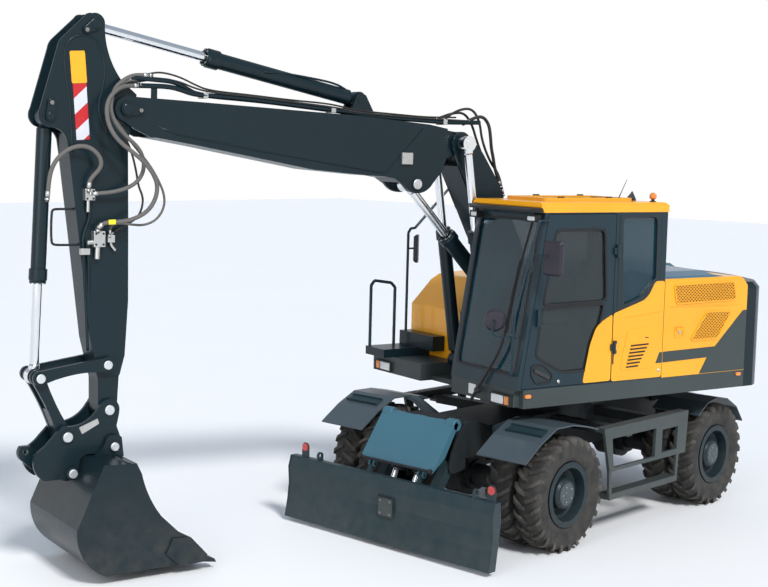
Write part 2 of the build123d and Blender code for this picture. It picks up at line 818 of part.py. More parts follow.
with BuildPart() as blade_cover:
    cover_plane = along(ARM_HIGH, BLADE_PIN_HIGH)
    reach = span(ARM_HIGH, BLADE_PIN_HIGH)
    slab(cover_plane, [(-14, 32), (reach - 22, 32), (reach - 22, 44), (-14, 44)], COVER_HALF_W)
    for hand in (-1, 1):
        slab(
            cover_plane.offset(hand * (COVER_HALF_W - 8)),
            [(-14, 34), (-14, -6), (reach * 0.6, -30), (reach - 22, 36)],
            8,
        )
    for hinge_y in (-BLADE_CYL_Y - 126, 0, BLADE_CYL_Y + 126):
        hinge_plane = along(ARM_HIGH, BLADE_PIN_HIGH, hinge_y)
        disc(hinge_plane, (0, 0), 34, 45)
        disc(hinge_plane, (0, 0), COVER_PIN_R + PIN_GAP, 46, Mode.SUBTRACT)
    for ear_y in (-300, 300):
        for ear in (-1, 1):
            ear_plane = along(ARM_HIGH, BLADE_PIN_HIGH, ear_y + ear * 26)
            slab(
                ear_plane,
                [
                    (reach - 90, 36),
                    (reach - 30, -14),
                    (reach + 20, -20),
                    (reach + 26, 10),
                    (reach - 26, 40),
                ],
                8,
            )
            disc(ear_plane, (reach, 0), 26, 8)
            disc(ear_plane, (reach, 0), 16 + PIN_GAP, 9, Mode.SUBTRACT)
write(blade_cover, "blade_cover")

with BuildPart() as blade_barrels:
    for hand in (-1, 1):
        cylinder = make_barrel(
            BLADE_CYL_BASE, BLADE_CYL_ROD, hand * BLADE_CYL_Y, BLADE_CYL, BLADE_BARREL, 44
        )
        add(cylinder.part)
write(blade_barrels, "blade_barrels")

with BuildPart() as blade_rods:
    for hand in (-1, 1):
        rod = make_rod(
            BLADE_CYL_BASE, BLADE_CYL_ROD, hand * BLADE_CYL_Y, BLADE_CYL, BLADE_ROD_IN, 40, 46
        )
        add(rod.part)
write(blade_rods, "blade_rods")

# Working gear: everything here stands on the plane BOOM_Y of the upper frame
def gear(offset=0):
    """The side-view plane of the working gear, shifted sideways."""
    return side(BOOM_Y + offset)


def pair(offset):
    """The two planes at equal distances each side of the gear's middle."""
    return [gear(-offset), gear(offset)]


def at(pin, offset=0):
    """A side-view plane of the gear whose origin is a pin."""
    return Plane(origin=(pin[0], BOOM_Y + offset, pin[1]), x_dir=(1, 0, 0), z_dir=(0, -1, 0))


LOWER_LEN = span(FOOT, BOOM_JOINT)
with BuildPart() as lower_boom:
    boom_plane = along(FOOT, BOOM_JOINT, BOOM_Y)
    slab(
        boom_plane,
        [
            (-60, 86),
            (-104, 0),
            (-60, -86),
            (60, -104),
            (380, -130),
            (1000, -135),
            (1560, -126),
            (LOWER_LEN - 120, -120),
            (LOWER_LEN - 60, 120),
            (1720, 190),
            (1350, 240),
            (700, 235),
            (60, 100),
        ],
        LOWER_BOOM_HALF,
    )
    # room for the upper boom's tongue between the fork plates
    disc(boom_plane, (LOWER_LEN, 0), FORK_POCKET_R, LOWER_BOOM_HALF + 1, Mode.SUBTRACT)
    for hand in (-1, 1):
        fork_plane = along(FOOT, BOOM_JOINT, BOOM_Y + hand * (TONGUE_HALF + SIDE_GAP + FORK_T / 2))
        slab(
            fork_plane,
            [
                (1250, -118),
                (LOWER_LEN - 40, -112),
                (LOWER_LEN, -BOSS_R),
                (LOWER_LEN + 10, 0),
                (LOWER_LEN, BOSS_R),
                (LOWER_LEN - 90, 150),
                (1720, 186),
                (1350, 232),
                (1150, 200),
            ],
            FORK_T / 2,
        )
        disc(fork_plane, (LOWER_LEN, 0), BOSS_R, FORK_T / 2)
        boss_y = TONGUE_HALF + SIDE_GAP + FORK_T
        boss_end = BOOM_CYL_Y - BOOM_EYE_HALF - SIDE_GAP
        disc(gear(hand * (boss_y + boss_end) / 2), BOOM_JOINT, 62, (boss_end - boss_y) / 2)
    # joint pin through the tongue
    disc(gear(), BOOM_JOINT, JOINT_PIN_R, TONGUE_HALF + SIDE_GAP + FORK_T)
    # lugs for the adjusting cylinder
    for lug_plane in pair(ADJUST_EYE_HALF + SIDE_GAP + 18):
        slab(
            lug_plane,
            [
                (ADJUST_BASE[0] - 150, ADJUST_BASE[1] - 190),
                (ADJUST_BASE[0] + 30, ADJUST_BASE[1] - 62),
                (ADJUST_BASE[0] + 66, ADJUST_BASE[1] + 6),
                (ADJUST_BASE[0] + 40, ADJUST_BASE[1] + 60),
                (ADJUST_BASE[0] - 20, ADJUST_BASE[1] + 210),
            ],
            18,
        )
    disc(gear(), ADJUST_BASE, ADJUST_CYL[3], ADJUST_EYE_HALF + SIDE_GAP + 30)
    disc(gear(), FOOT, FOOT_PIN_R + PIN_GAP, LOWER_BOOM_HALF + 2, Mode.SUBTRACT)
write(lower_boom, "lower_boom", SWUNG)

with BuildPart() as upper_boom:
    # tongue that turns between the lower boom's fork plates
    slab(
        gear(),
        [
            (BOOM_JOINT[0] - 60, BOOM_JOINT[1] + 92),
            (BOOM_JOINT[0] - BOSS_R, BOOM_JOINT[1]),
            (BOOM_JOINT[0] - 40, BOOM_JOINT[1] - 100),
            (BOOM_JOINT[0] + 60, BOOM_JOINT[1] - 112),
            (BOX_START + 40, 3500),
            (BOX_START + 40, 3790),
        ],
        TONGUE_HALF,
    )
    disc(gear(), BOOM_JOINT, BOSS_R, TONGUE_HALF)
    # main box, round below the adjusting cylinder's pin
    contour(
        gear(),
        [
            (BOX_START, 3540),
            (1450, 3402),
            (1560, 3280),
            [(1745, 3185)],
            (1900, 3262),
            (2000, 3322),
            (2119, 3340),
            (2285, 3346),
            (2873, 3392),
            (4004, 3580),
            (BOX_END, 3640),
            (BOX_END, 3964),
            (4009, 3950),
            (2366, 3885),
            (1614, 3830),
            (BOX_START, 3796),
        ],
        UPPER_BOOM_HALF,
    )
    # room for the adjusting cylinder between the low lugs
    slab(
        gear(),
        [(1380, 3100), (1420, 3432), (1620, 3446), (1890, 3446), (1990, 3100)],
        UPPER_BOOM_HALF - LUG_T,
        Mode.SUBTRACT,
    )
    for hand in (-1, 1):
        disc(gear(hand * (UPPER_BOOM_HALF + 6)), ADJUST_ROD, 58, 6)
    # fork ears round the arm's boss
    for ear_plane in pair(UPPER_BOOM_HALF - EAR_T / 2):
        slab(
            ear_plane,
            [
                (BOX_END - 60, 3960),
                (BOX_END - 60, 3640),
                (4464, 3645),
                (ARM_PIVOT[0] - 60, ARM_PIVOT[1] - 156),
                (ARM_PIVOT[0] + 30, ARM_PIVOT[1] - 100),
                (ARM_PIVOT[0] + 104, ARM_PIVOT[1]),
                (ARM_PIVOT[0] + 40, ARM_PIVOT[1] + 96),
                (ARM_PIVOT[0] - 30, ARM_PIVOT[1] + 104),
            ],
            EAR_T / 2,
        )
        disc(ear_plane, ARM_PIVOT, 104, EAR_T / 2)
    disc(gear(), ARM_PIVOT, ARM_PIN_R, UPPER_BOOM_HALF + 14)
    # lugs for the arm cylinder
    for lug_plane in pair(ARM_EYE_HALF + SIDE_GAP + 15):
        slab(
            lug_plane,
            [
                (ARM_CYL_BASE[0] - 170, 3870),
                (ARM_CYL_BASE[0] - 50, ARM_CYL_BASE[1] + 40),
                (ARM_CYL_BASE[0], ARM_CYL_BASE[1] + 62),
                (ARM_CYL_BASE[0] + 50, ARM_CYL_BASE[1] + 40),
                (ARM_CYL_BASE[0] + 130, 3880),
            ],
            15,
        )
    disc(gear(), ARM_CYL_BASE, ARM_CYL[3], ARM_EYE_HALF + SIDE_GAP + 34)
    disc(gear(), BOOM_JOINT, JOINT_PIN_R + PIN_GAP, TONGUE_HALF + 2, Mode.SUBTRACT)
write(upper_boom, "upper_boom", SWUNG)

# Arm, drawn along the line from its pivot to its tip
ARM_LEN = span(ARM_PIVOT, ARM_TIP)
ARM_HEAD = [
    (-127, -98),
    (-230, 42),
    [(-420, 160)],
    (-682, 213),
    [(-728, 240)],
    (-742, 328),
    [(-738, 362)],
    (-713, 387),
    (-521, 569),
    [(-485, 592)],
    (-442, 603),
    (55, 722),
    [(162, 712)],
    (200, 621),
    [(218, 540)],
    (293, 481),
    (266, -44),
]
ARM_SIDE = [
    (264, -44),
    (865, -82),
    (ARM_LEN * 0.632, -123),
    (ARM_LEN * 0.817, -119),
    (ARM_LEN - 290, -83),
    (ARM_LEN - 281, 101),
    (ARM_LEN * 0.766, 194),
    (ARM_LEN * 0.47, 322),
    (392, 461),
    (291, 482),
]
with BuildPart() as arm:
    arm_plane = along(ARM_PIVOT, ARM_TIP, BOOM_Y)
    # box down to the tip
    slab(
        arm_plane,
        [
            (82, -114),
            (152, -38),
            (865, -82),
            (ARM_LEN * 0.632, -123),
            (ARM_LEN * 0.817, -119),
            (ARM_LEN - 270, -84),
            (ARM_LEN - 24, -83),
            (ARM_LEN - 15, 85),
            (ARM_LEN - 249, 99),
            (ARM_LEN * 0.766, 194),
            (ARM_LEN * 0.47, 322),
            (392, 461),
            (233, 483),
            (-11, 411),
            (-346, 328),
            (-355, 138),
            (-210, 41),
            (-97, -99),
        ],
        ARM_HALF - ARM_EAR_T + 2,
    )
    # side plates, which stand up as two ears round the cylinders' pins
    for hand in (-1, 1):
        ear_plane = along(ARM_PIVOT, ARM_TIP, BOOM_Y + hand * (ARM_HALF - ARM_EAR_T / 2))
        contour(ear_plane, ARM_HEAD, ARM_EAR_T / 2)
        slab(ear_plane, ARM_SIDE, ARM_EAR_T / 2)
        disc(gear(hand * (ARM_HALF + 6)), ARM_TOP, 46, 6)
    disc(gear(), ARM_PIVOT, 132, TONGUE_HALF)
    disc(gear(), ARM_TIP, 88, ARM_TIP_HALF)
    disc(gear(), GUIDE_PIN, 70, ARM_HALF)
    # pins for the guide link and the bucket cylinder
    disc(gear(), GUIDE_PIN, GUIDE_PIN_R, GUIDE_OUT + 10)
    disc(gear(), BUCKET_CYL_BASE, BUCKET_CYL[3], ARM_HALF + 12)
    disc(gear(), ARM_PIVOT, ARM_PIN_R + PIN_GAP, TONGUE_HALF + 2, Mode.SUBTRACT)
    disc(gear(), ARM_TIP, TIP_PIN_R + PIN_GAP, ARM_TIP_HALF + 2, Mode.SUBTRACT)
write(arm, "arm", SWUNG)

# Bucket linkage: guide bars with a hollow back, forked link, coupler
with BuildPart() as guide_link:
    guide_len = span(GUIDE_PIN, LINK_PIN)
    for hand in (-1, 1):
        bar_plane = along(GUIDE_PIN, LINK_PIN, BOOM_Y + hand * (GUIDE_IN + GUIDE_OUT) / 2)
        bar_half = (GUIDE_OUT - GUIDE_IN) / 2
        contour(
            bar_plane,
            [(0, -64), [(guide_len / 2, -24)], (guide_len, -60), (guide_len, 58), (0, 64)],
            bar_half,
        )
        disc(bar_plane, (0, 0), 66, bar_half)
        disc(bar_plane, (guide_len, 0), 62, bar_half)
        disc(bar_plane, (0, 0), GUIDE_PIN_R + PIN_GAP, bar_half + 1, Mode.SUBTRACT)
        # half pins that the forked link turns on
        disc(
            gear(hand * (LINK_BAR_IN + 2 + GUIDE_OUT + 12) / 2),
            LINK_PIN,
            LINK_PIN_R,
            (GUIDE_OUT + 12 - LINK_BAR_IN - 2) / 2,
        )
write(guide_link, "guide_link", SWUNG)

with BuildPart() as link:
    link_len = span(LINK_PIN, COUPLER_PIN)
    for hand in (-1, 1):
        bar_plane = along(LINK_PIN, COUPLER_PIN, BOOM_Y + hand * (LINK_BAR_IN + LINK_HALF) / 2)
        bar_half = (LINK_HALF - LINK_BAR_IN) / 2
        contour(
            bar_plane,
            [
                (0, -58),
                [(link_len / 2, -42)],
                (link_len, -62),
                (link_len, 62),
                [(link_len / 2, 42)],
                (0, 58),
            ],
            bar_half,
        )
        disc(bar_plane, (0, 0), 62, bar_half)
        disc(bar_plane, (0, 0), LINK_PIN_R + PIN_GAP, bar_half + 1, Mode.SUBTRACT)
    link_plane = along(LINK_PIN, COUPLER_PIN, BOOM_Y)
    slab(
        link_plane,
        [(LINK_WEB, -36), (link_len - 20, -50), (link_len - 20, 50), (LINK_WEB, 36)],
        LINK_BAR_IN + 4,
    )
    disc(link_plane, (link_len, 0), 64, LINK_HALF)
write(link, "link", SWUNG)

COUPLER_EDGE = [
    # from the arm's tip: its front edge, the jaws' underside, the rear lug, the hollow top
    (-90, -30),
    (-66, -139),
    (-108, -254),
    [(-100, -330)],
    (-40, -360),
    (205, -356),
    (250, -390),
    (280, -500),
    [(330, -556)],
    (420, -545),
    (560, -545),
    [(628, -480)],
    (640, -320),
    (553, -256),
    (432, -130),
    [(400, -100)],
    (366, -110),
    [(216, -86)],
    (92, 30),
]
with BuildPart() as coupler:
    for hand in (-1, 1):
        ear_y = hand * (COUPLER_IN + COUPLER_OUT) / 2
        ear_half = (COUPLER_OUT - COUPLER_IN) / 2
        contour(at(ARM_TIP, ear_y), COUPLER_EDGE, ear_half)
        disc(gear(ear_y), ARM_TIP, 92, ear_half)
        disc(gear(ear_y), COUPLER_PIN, 86, ear_half)
        disc(gear(hand * (COUPLER_OUT + 8)), COUPLER_PIN, 40, 9)
    # cross plates between the ears, clear of the arm's tip and of the link
    slab(
        at(BUCKET_PIN_1),
        [
            (-20, 50),
            (-60, -10),
            (235, -52),
            (290, -104),
            (330, -190),
            (562, -160),
            (562, -100),
            (384, -102),
            (120, 25),
        ],
        COUPLER_IN + 2,
    )
    # lifting lug in the middle, with its hole for a shackle
    contour(
        at(SHACKLE),
        [(-160, -120), (-60, -150), (40, -62), [(62, 0)], (40, 50), (-40, 50), (-80, 14), (-130, 4)],
        SHACKLE_LUG_HALF,
    )
    disc(gear(), SHACKLE, SHACKLE_R, SHACKLE_LUG_HALF + 1, Mode.SUBTRACT)
    disc(gear(), ARM_TIP, TIP_PIN_R, COUPLER_OUT + 12)
    for pin_at in (BUCKET_PIN_1, BUCKET_PIN_2):
        disc(gear(), pin_at, BUCKET_BORE_R, COUPLER_OUT + 2, Mode.SUBTRACT)
write(coupler, "coupler", SWUNG)

# Bucket: drawn from its first pin, as side plates and a rolled shell with an open mouth
BUCKET_SIDE = [
    (-45, -75),
    (-92, -168),
    [(-180, -405)],
    (-271, -545),
    (-424, -693),
    (-543, -760),
    (-648, -950),
    (-372, -978),
    (219, -984),
    [(400, -830)],
    (466, -575),
    (238, -65),
]
BUCKET_HOLLOW = [
    (-300, -65 - BUCKET_WALL),
    (226, -65 - BUCKET_WALL),
    (466 - BUCKET_WALL, -575),
    [(387, -817)],
    (219, -984 + BUCKET_WALL),
    (-700, -960),
    (-700, -700),
]
LIP = (-648, -978)
TOOTH_COUNT = 5
BUCKET_EAR = [
    # round the first pin, hollow between the pins, then a tail down the bucket's back
    (-85, -90),
    (-66, 74),
    [(0, 99)],
    (66, 74),
    [(160, -60)],
    (300, -105),
    (364, -98),
    [(440, -125)],
    (462, -190),
    [(470, -300)],
    (474, -400),
    (448, -565),
    (200, -75),
]
with BuildPart() as bucket:
    contour(at(BUCKET_PIN_1), BUCKET_SIDE, BUCKET_W / 2)
    contour(at(BUCKET_PIN_1), BUCKET_HOLLOW, BUCKET_W / 2 - BUCKET_WALL, Mode.SUBTRACT)
    # tube across the top of the mouth
    disc(at(BUCKET_PIN_1), (20, -100), 34, BUCKET_W / 2 - BUCKET_WALL / 2)
    # ears on the bucket's back that hold the two pins
    for hand in (-1, 1):
        ear_y = hand * (COUPLER_OUT + SIDE_GAP + BUCKET_EAR_T / 2)
        contour(at(BUCKET_PIN_1, ear_y), BUCKET_EAR, BUCKET_EAR_T / 2)
        disc(at(BUCKET_PIN_1, ear_y), (416, -379), 22, BUCKET_EAR_T, Mode.SUBTRACT)
    for pin_at in (BUCKET_PIN_1, BUCKET_PIN_2):
        disc(gear(), pin_at, BUCKET_PIN_R, COUPLER_OUT + SIDE_GAP + BUCKET_EAR_T + 14)
    # cutting edge, teeth and side cutters
    slab(
        at(BUCKET_PIN_1),
        [
            (LIP[0] - 40, LIP[1] + 2),
            (LIP[0] + 10, LIP[1] + 44),
            (LIP[0] + 260, LIP[1] + 34),
            (LIP[0] + 260, LIP[1] - 2),
        ],
        BUCKET_W / 2,
    )
    for tooth in range(TOOTH_COUNT):
        tooth_y = (tooth - (TOOTH_COUNT - 1) / 2) * (BUCKET_W - 120) / (TOOTH_COUNT - 1)
        slab(
            at(BUCKET_PIN_1, tooth_y),
            [
                (LIP[0] + 90, LIP[1]),
                (LIP[0] - 20, LIP[1] - 12),
                (LIP[0] - 140, LIP[1] - 30),
                (LIP[0] - 125, LIP[1]),
                (LIP[0], LIP[1] + 58),
                (LIP[0] + 60, LIP[1] + 66),
            ],
            48,
        )
    for hand in (-1, 1):
        slab(
            at(BUCKET_PIN_1, hand * (BUCKET_W / 2 + 11)),
            [(-368, -740), (-532, -752), (-688, -920), (-668, -978), (-438, -984), (-308, -870)],
            11,
        )
write(bucket, "bucket", SWUNG)

# Cylinders of the working gear
with BuildPart() as boom_barrels:
    for hand in (-1, 1):
        cylinder = make_barrel(
            BOOM_CYL_BASE,
            BOOM_JOINT,
            BOOM_Y + hand * BOOM_CYL_Y,
            BOOM_CYL,
            BOOM_BARREL,
            BOOM_EYE_HALF,
        )
        add(cylinder.part)
write(boom_barrels, "boom_barrels", SWUNG)

with BuildPart() as boom_rods:
    for hand in (-1, 1):
        rod = make_rod(
            BOOM_CYL_BASE,
            BOOM_JOINT,
            BOOM_Y + hand * BOOM_CYL_Y,
            BOOM_CYL,
            BOOM_ROD_IN,
            BOOM_EYE_HALF,
            BOOM_EYE_HALF + 3,
        )
        add(rod.part)
write(boom_rods, "boom_rods", SWUNG)

CYLINDERS = [
    # label, base pin, rod pin, sizes, barrel length, rod inside, eye half, pin half
    ("adjust", ADJUST_BASE, ADJUST_ROD, ADJUST_CYL, ADJUST_BARREL, ADJUST_ROD_IN, ADJUST_EYE_HALF, 122),
    ("arm", ARM_CYL_BASE, ARM_TOP, ARM_CYL, ARM_BARREL, ARM_ROD_IN, ARM_EYE_HALF, 93),
    ("bucket", BUCKET_CYL_BASE, LINK_PIN, BUCKET_CYL, BUCKET_BARREL, BUCKET_ROD_IN, 45, 52),
]
for label, base, rod_pin, sizes, barrel_len, rod_in, eye_half, pin_half in CYLINDERS:
    barrel = make_barrel(base, rod_pin, BOOM_Y, sizes, barrel_len, eye_half)
    write(barrel, f"{label}_barrel", SWUNG)
    rod = make_rod(base, rod_pin, BOOM_Y, sizes, rod_in, eye_half, pin_half)
    write(rod, f"{label}_rod", SWUNG)

# Upper structure
def plan(z):
    """The plan-view plane at height z."""
    return Plane.XY.offset(z)


def block(x_low, x_high, y_low, y_high, z_low, z_high, mode=Mode.ADD):
    """A plain box between two corners."""
    with BuildSketch(plan(z_low)) as outline:
        with Locations(((x_low + x_high) / 2, (y_low + y_high) / 2)):
            Rectangle(x_high - x_low, y_high - y_low)
    extrude(outline.sketch, amount=z_high - z_low, mode=mode)


def tube(points, radius, bend):
    """A round bar along straight runs joined by arcs."""
    with BuildPart() as piece:
        with BuildLine() as route:
            FilletPolyline(*points, radius=bend)
        with BuildSketch(Plane(origin=route.line @ 0, z_dir=route.line % 0)):
            Circle(radius)
        sweep(path=route.line)
    return piece


with BuildPart() as upper_frame:
    # centre deck, left platform under the cab and right platform
    block(SKIRT_REAR, 1150, -HALF_W + 40, CAB_IN_Y + 20, DECK_LOW, DECK_TOP)
    block(SKIRT_REAR, DECK_FRONT, CAB_IN_Y, HALF_W, DECK_LOW, SKIRT_TOP)
    block(SKIRT_REAR, 1290, -HALF_W, HOUSE_IN_Y, DECK_LOW, SKIRT_TOP)
    block(DECK_FRONT - 10, 1400, CAB_IN_Y, HALF_W - 60, DECK_LOW + 10, SKIRT_TOP)
    # slewing ring
    with BuildSketch(plan(RING_TOP + SEAT_GAP)):
        Circle(RING_R)
    extrude(amount=DECK_LOW - RING_TOP)
    # plates that carry the boom and its cylinders
    for hand in (-1, 1):
        foot_plane = gear(hand * (FOOT_PLATE_IN + FOOT_PLATE_OUT) / 2)
        plate_half = (FOOT_PLATE_OUT - FOOT_PLATE_IN) / 2
        slab(
            foot_plane,
            [
                (-420, DECK_TOP - 10),
                (-250, 1500),
                (FOOT[0] - 110, FOOT[1] + 20),
                (FOOT[0] - 60, FOOT[1] + 90),
                (FOOT[0] + 70, FOOT[1] + 86),
                (FOOT[0] + 112, FOOT[1] - 10),
                (600, 1700),
                (880, 1590),
                (960, 1550),
                (980, 1470),
                (1010, DECK_TOP - 10),
            ],
            plate_half,
        )
        disc(foot_plane, FOOT, 106, plate_half)
        disc(foot_plane, BOOM_CYL_BASE, 84, plate_half)
        # pin stubs for the boom cylinders
        stub_end = BOOM_CYL_Y + BOOM_EYE_HALF + 10
        stub_start = FOOT_PLATE_OUT - 2
        disc(
            gear(hand * (stub_start + stub_end) / 2),
            BOOM_CYL_BASE,
            BOOM_CYL[3],
            (stub_end - stub_start) / 2,
        )
    disc(gear(), FOOT, FOOT_PIN_R, FOOT_PLATE_OUT + 12)
write(upper_frame, "upper_frame", SWUNG)

with BuildPart() as counterweight:
    with BuildSketch(plan(DECK_LOW)) as tail:
        with BuildLine():
            Polyline(
                (TAIL_SIDE_X, -HALF_W),
                (SKIRT_REAR - SEAT_GAP, -HALF_W),
                (SKIRT_REAR - SEAT_GAP, HALF_W),
                (TAIL_SIDE_X, HALF_W),
            )
            ThreePointArc((TAIL_SIDE_X, HALF_W), TAIL_CORNER, TAIL_BACK)
            ThreePointArc(TAIL_BACK, (-TAIL_R, 0), (TAIL_BACK[0], -TAIL_BACK[1]))
            ThreePointArc(
                (TAIL_BACK[0], -TAIL_BACK[1]),
                (TAIL_CORNER[0], -TAIL_CORNER[1]),
                (TAIL_SIDE_X, -HALF_W),
            )
        make_face()
    extrude(tail.sketch, amount=TAIL_TOP - TAIL_CROWN - DECK_LOW)
    crown_face = counterweight.faces().sort_by(Axis.Z)[-1]
    extrude(crown_face, amount=TAIL_CROWN, taper=40)
write(counterweight, "counterweight", SWUNG)

# Engine house: left doors, right housing, hood
GRILLES = [
    [(-500, 2350), (-1317, 2362), (-1352, 2190), (-539, 2175)],
    [(-956, 2070), (-1295, 2066), (-1115, 1812), (-753, 1810)],
]
with BuildPart() as house_left:
    slab(
        side((CAB_IN_Y + HALF_W) / 2 + 30),
        [
            (HOUSE_FRONT, SKIRT_TOP + SEAT_GAP),
            (HOUSE_FRONT, HOUSE_TOP),
            (SKIRT_REAR + 80, HOUSE_TOP),
            (SKIRT_REAR, HOUSE_TOP - 90),
            (SKIRT_REAR, SKIRT_TOP + SEAT_GAP),
        ],
        (HALF_W - CAB_IN_Y) / 2 - 30,
    )
    chamfer(house_left.edges().filter_by(Axis.X).group_by(Axis.Z)[-1].sort_by(Axis.Y)[-1], 30)
    block(
        HOUSE_FRONT - 1100,
        HOUSE_FRONT - HOUSE_WALL,
        CAB_IN_Y,
        HALF_W - HOUSE_WALL,
        SKIRT_TOP + HOUSE_WALL,
        HOUSE_TOP - HOUSE_WALL,
        Mode.SUBTRACT,
    )
    # two grilles: a shallow recess with slanting bars across it
    for recess in GRILLES:
        slab(side(HALF_W - GRILLE_DEPTH / 2 + 1), recess, GRILLE_DEPTH / 2 + 1, Mode.SUBTRACT)
        (x_low, x_high), (z_low, z_high) = [(min(c), max(c)) for c in zip(*recess)]
        with BuildSketch(side(HALF_W - GRILLE_DEPTH / 2)) as bars:
            with BuildLine():
                Polyline(*recess, close=True)
            make_face()
            with BuildSketch(mode=Mode.INTERSECT):
                with Locations(((x_low + x_high) / 2, (z_low + z_high) / 2)):
                    with GridLocations(GRILLE_PITCH, 0, int((x_high - x_low) / GRILLE_PITCH) + 8, 1):
                        Rectangle(GRILLE_BAR, 2 * (z_high - z_low), rotation=-35)
        extrude(bars.sketch, amount=GRILLE_DEPTH / 2, both=True)
write(house_left, "house_left", SWUNG)

with BuildPart() as house_right:
    slab(
        side((HOUSE_IN_Y - HALF_W) / 2),
        [
            (SKIRT_REAR, SKIRT_TOP + SEAT_GAP),
            (820, SKIRT_TOP + SEAT_GAP),
            (820, 1972),
            (512, 2283),
            (HOUSE_FRONT, HOUSE_TOP - 60),
            (SKIRT_REAR + 80, HOUSE_TOP - 60),
            (SKIRT_REAR, HOUSE_TOP - 140),
        ],
        (HALF_W + HOUSE_IN_Y) / 2,
    )
    chamfer(house_right.edges().filter_by(Axis.X).group_by(Axis.Z)[-1].sort_by(Axis.Y)[0], 60)
write(house_right, "house_right", SWUNG)

with BuildPart() as hood:
    slab(
        side((CAB_IN_Y + 60 + HOUSE_IN_Y) / 2),
        [
            (SKIRT_REAR, 2250),
            (HOUSE_FRONT - 60, 2250),
            (HOUSE_FRONT - 60, HOUSE_TOP),
            (HOUSE_FRONT - 100, HOUSE_TOP + 60),
            (SKIRT_REAR + 160, HOUSE_TOP + 60),
            (SKIRT_REAR, HOUSE_TOP - 20),
        ],
        (CAB_IN_Y + 60 - HOUSE_IN_Y) / 2 - SEAT_GAP,
    )
    block(-1400, -500, HOUSE_IN_Y + 40, CAB_IN_Y + 20, 2240, HOUSE_TOP + 20, Mode.SUBTRACT)
write(hood, "hood", SWUNG)

with BuildPart() as engine:
    block(-1400, -560, HOUSE_IN_Y + 50, CAB_IN_Y, DECK_TOP + SEAT_GAP, 2200)
write(engine, "engine", SWUNG)

# Cab: a hollow shell with its windows cut
CAB_SIDE = [
    (CAB_REAR, SKIRT_TOP + SEAT_GAP),
    (1412, SKIRT_TOP + SEAT_GAP),
    (1400, 1560),
    (1150, CAB_TOP),
    (CAB_REAR, CAB_TOP),
]
DOOR_SIDE = [(291, 1478), (1362, 1478), (1106, 3044), (291, 3044)]
QUARTER_WINDOW = [(203, 3005), (-233, 3011), (-245, 2422), (-62, 2260), (167, 2191)]
RIGHT_WINDOW = [(-240, 1900), (1270, 1800), (1100, 3000), (-240, 3000)]
DOOR_UPPER = [(1014, 2904), (422, 2906), (372, 2235), (1140, 2222)]
DOOR_LOWER = [(1146, 2200), (396, 2214), (520, 1700), (560, 1600), (889, 1600), (1210, 1763)]
CAB_MID_Y = (CAB_IN_Y + HALF_W) / 2
CAB_HALF = (HALF_W - CAB_IN_Y) / 2

with BuildPart() as cab_frame:
    slab(side(CAB_MID_Y), CAB_SIDE, CAB_HALF)
    slab(
        side(CAB_MID_Y),
        [
            (CAB_REAR + WALL, SKIRT_TOP + WALL),
            (1412 - WALL - 8, SKIRT_TOP + WALL),
            (1400 - WALL - 4, 1556),
            (1150 - WALL, CAB_TOP - WALL),
            (CAB_REAR + WALL, CAB_TOP - WALL),
        ],
        CAB_HALF - WALL,
        Mode.SUBTRACT,
    )
    # windscreen and rear window openings
    block(700, 1500, CAB_IN_Y + 60, HALF_W - 60, 1600, CAB_TOP - 70, Mode.SUBTRACT)
    block(CAB_REAR - 10, CAB_REAR + WALL + 10, CAB_IN_Y + 90, HALF_W - 90, 2440, 2990, Mode.SUBTRACT)
    slab(side(CAB_IN_Y + WALL / 2), RIGHT_WINDOW, WALL / 2 + 2, Mode.SUBTRACT)
    slab(side(HALF_W - WALL / 2), QUARTER_WINDOW, WALL / 2 + 2, Mode.SUBTRACT)
    slab(
        side(HALF_W - WALL / 2),
        [(285, 1472), (1369, 1472), (1111, 3050), (285, 3050)],
        WALL / 2 + 2,
        Mode.SUBTRACT,
    )
    # hinge pins for the door, each between two lugs
    for hinge_z in DOOR_HINGES:
        with BuildSketch(plan(hinge_z - 60)):
            with Locations(DOOR_AXIS):
                Circle(8)
        extrude(amount=120)
        for lug_z in (hinge_z - 60, hinge_z + 30 + SEAT_GAP):
            with BuildSketch(plan(lug_z)):
                with Locations(DOOR_AXIS):
                    Circle(15)
                with Locations((DOOR_AXIS[0] - 15, HALF_W + 7)):
                    Rectangle(30, 26)
            extrude(amount=30 - SEAT_GAP)
write(cab_frame, "cab_frame", SWUNG)

with BuildPart() as cab_roof:
    slab(
        side(CAB_MID_Y),
        [
            (CAB_REAR - 10, CAB_TOP + SEAT_GAP),
            (1170, CAB_TOP + SEAT_GAP),
            (1205, ROOF_TOP - 40),
            (1190, ROOF_TOP),
            (CAB_REAR + 20, ROOF_TOP),
            (CAB_REAR - 10, ROOF_TOP - 30),
        ],
        CAB_HALF + 5,
    )
    chamfer(cab_roof.edges().filter_by(Axis.X).group_by(Axis.Z)[-1], 24)
write(cab_roof, "cab_roof", SWUNG)

with BuildPart() as cab_door:
    slab(side(HALF_W - 20), DOOR_SIDE, 20)
    slab(side(HALF_W - 20), DOOR_UPPER, 22, Mode.SUBTRACT)
    slab(side(HALF_W - 20), DOOR_LOWER, 22, Mode.SUBTRACT)
    for hinge_z in DOOR_HINGES:
        with BuildSketch(plan(hinge_z - 30)):
            with Locations(DOOR_AXIS):
                Circle(15)
            with Locations((DOOR_AXIS[0] + 22, HALF_W + 13)):
                Rectangle(44, 14)
            with Locations((DOOR_AXIS[0] + 34, HALF_W + 7)):
                Rectangle(20, 26)
            with Locations(DOOR_AXIS):
                Circle(8 + PIN_GAP, mode=Mode.SUBTRACT)
        extrude(amount=60)
    # handle
    block(1185, 1225, HALF_W - 10, HALF_W + 34, 2040, 2190)
write(cab_door, "cab_door", SWUNG)

GLASS_T = 6
GLASS_GAP = SEAT_GAP


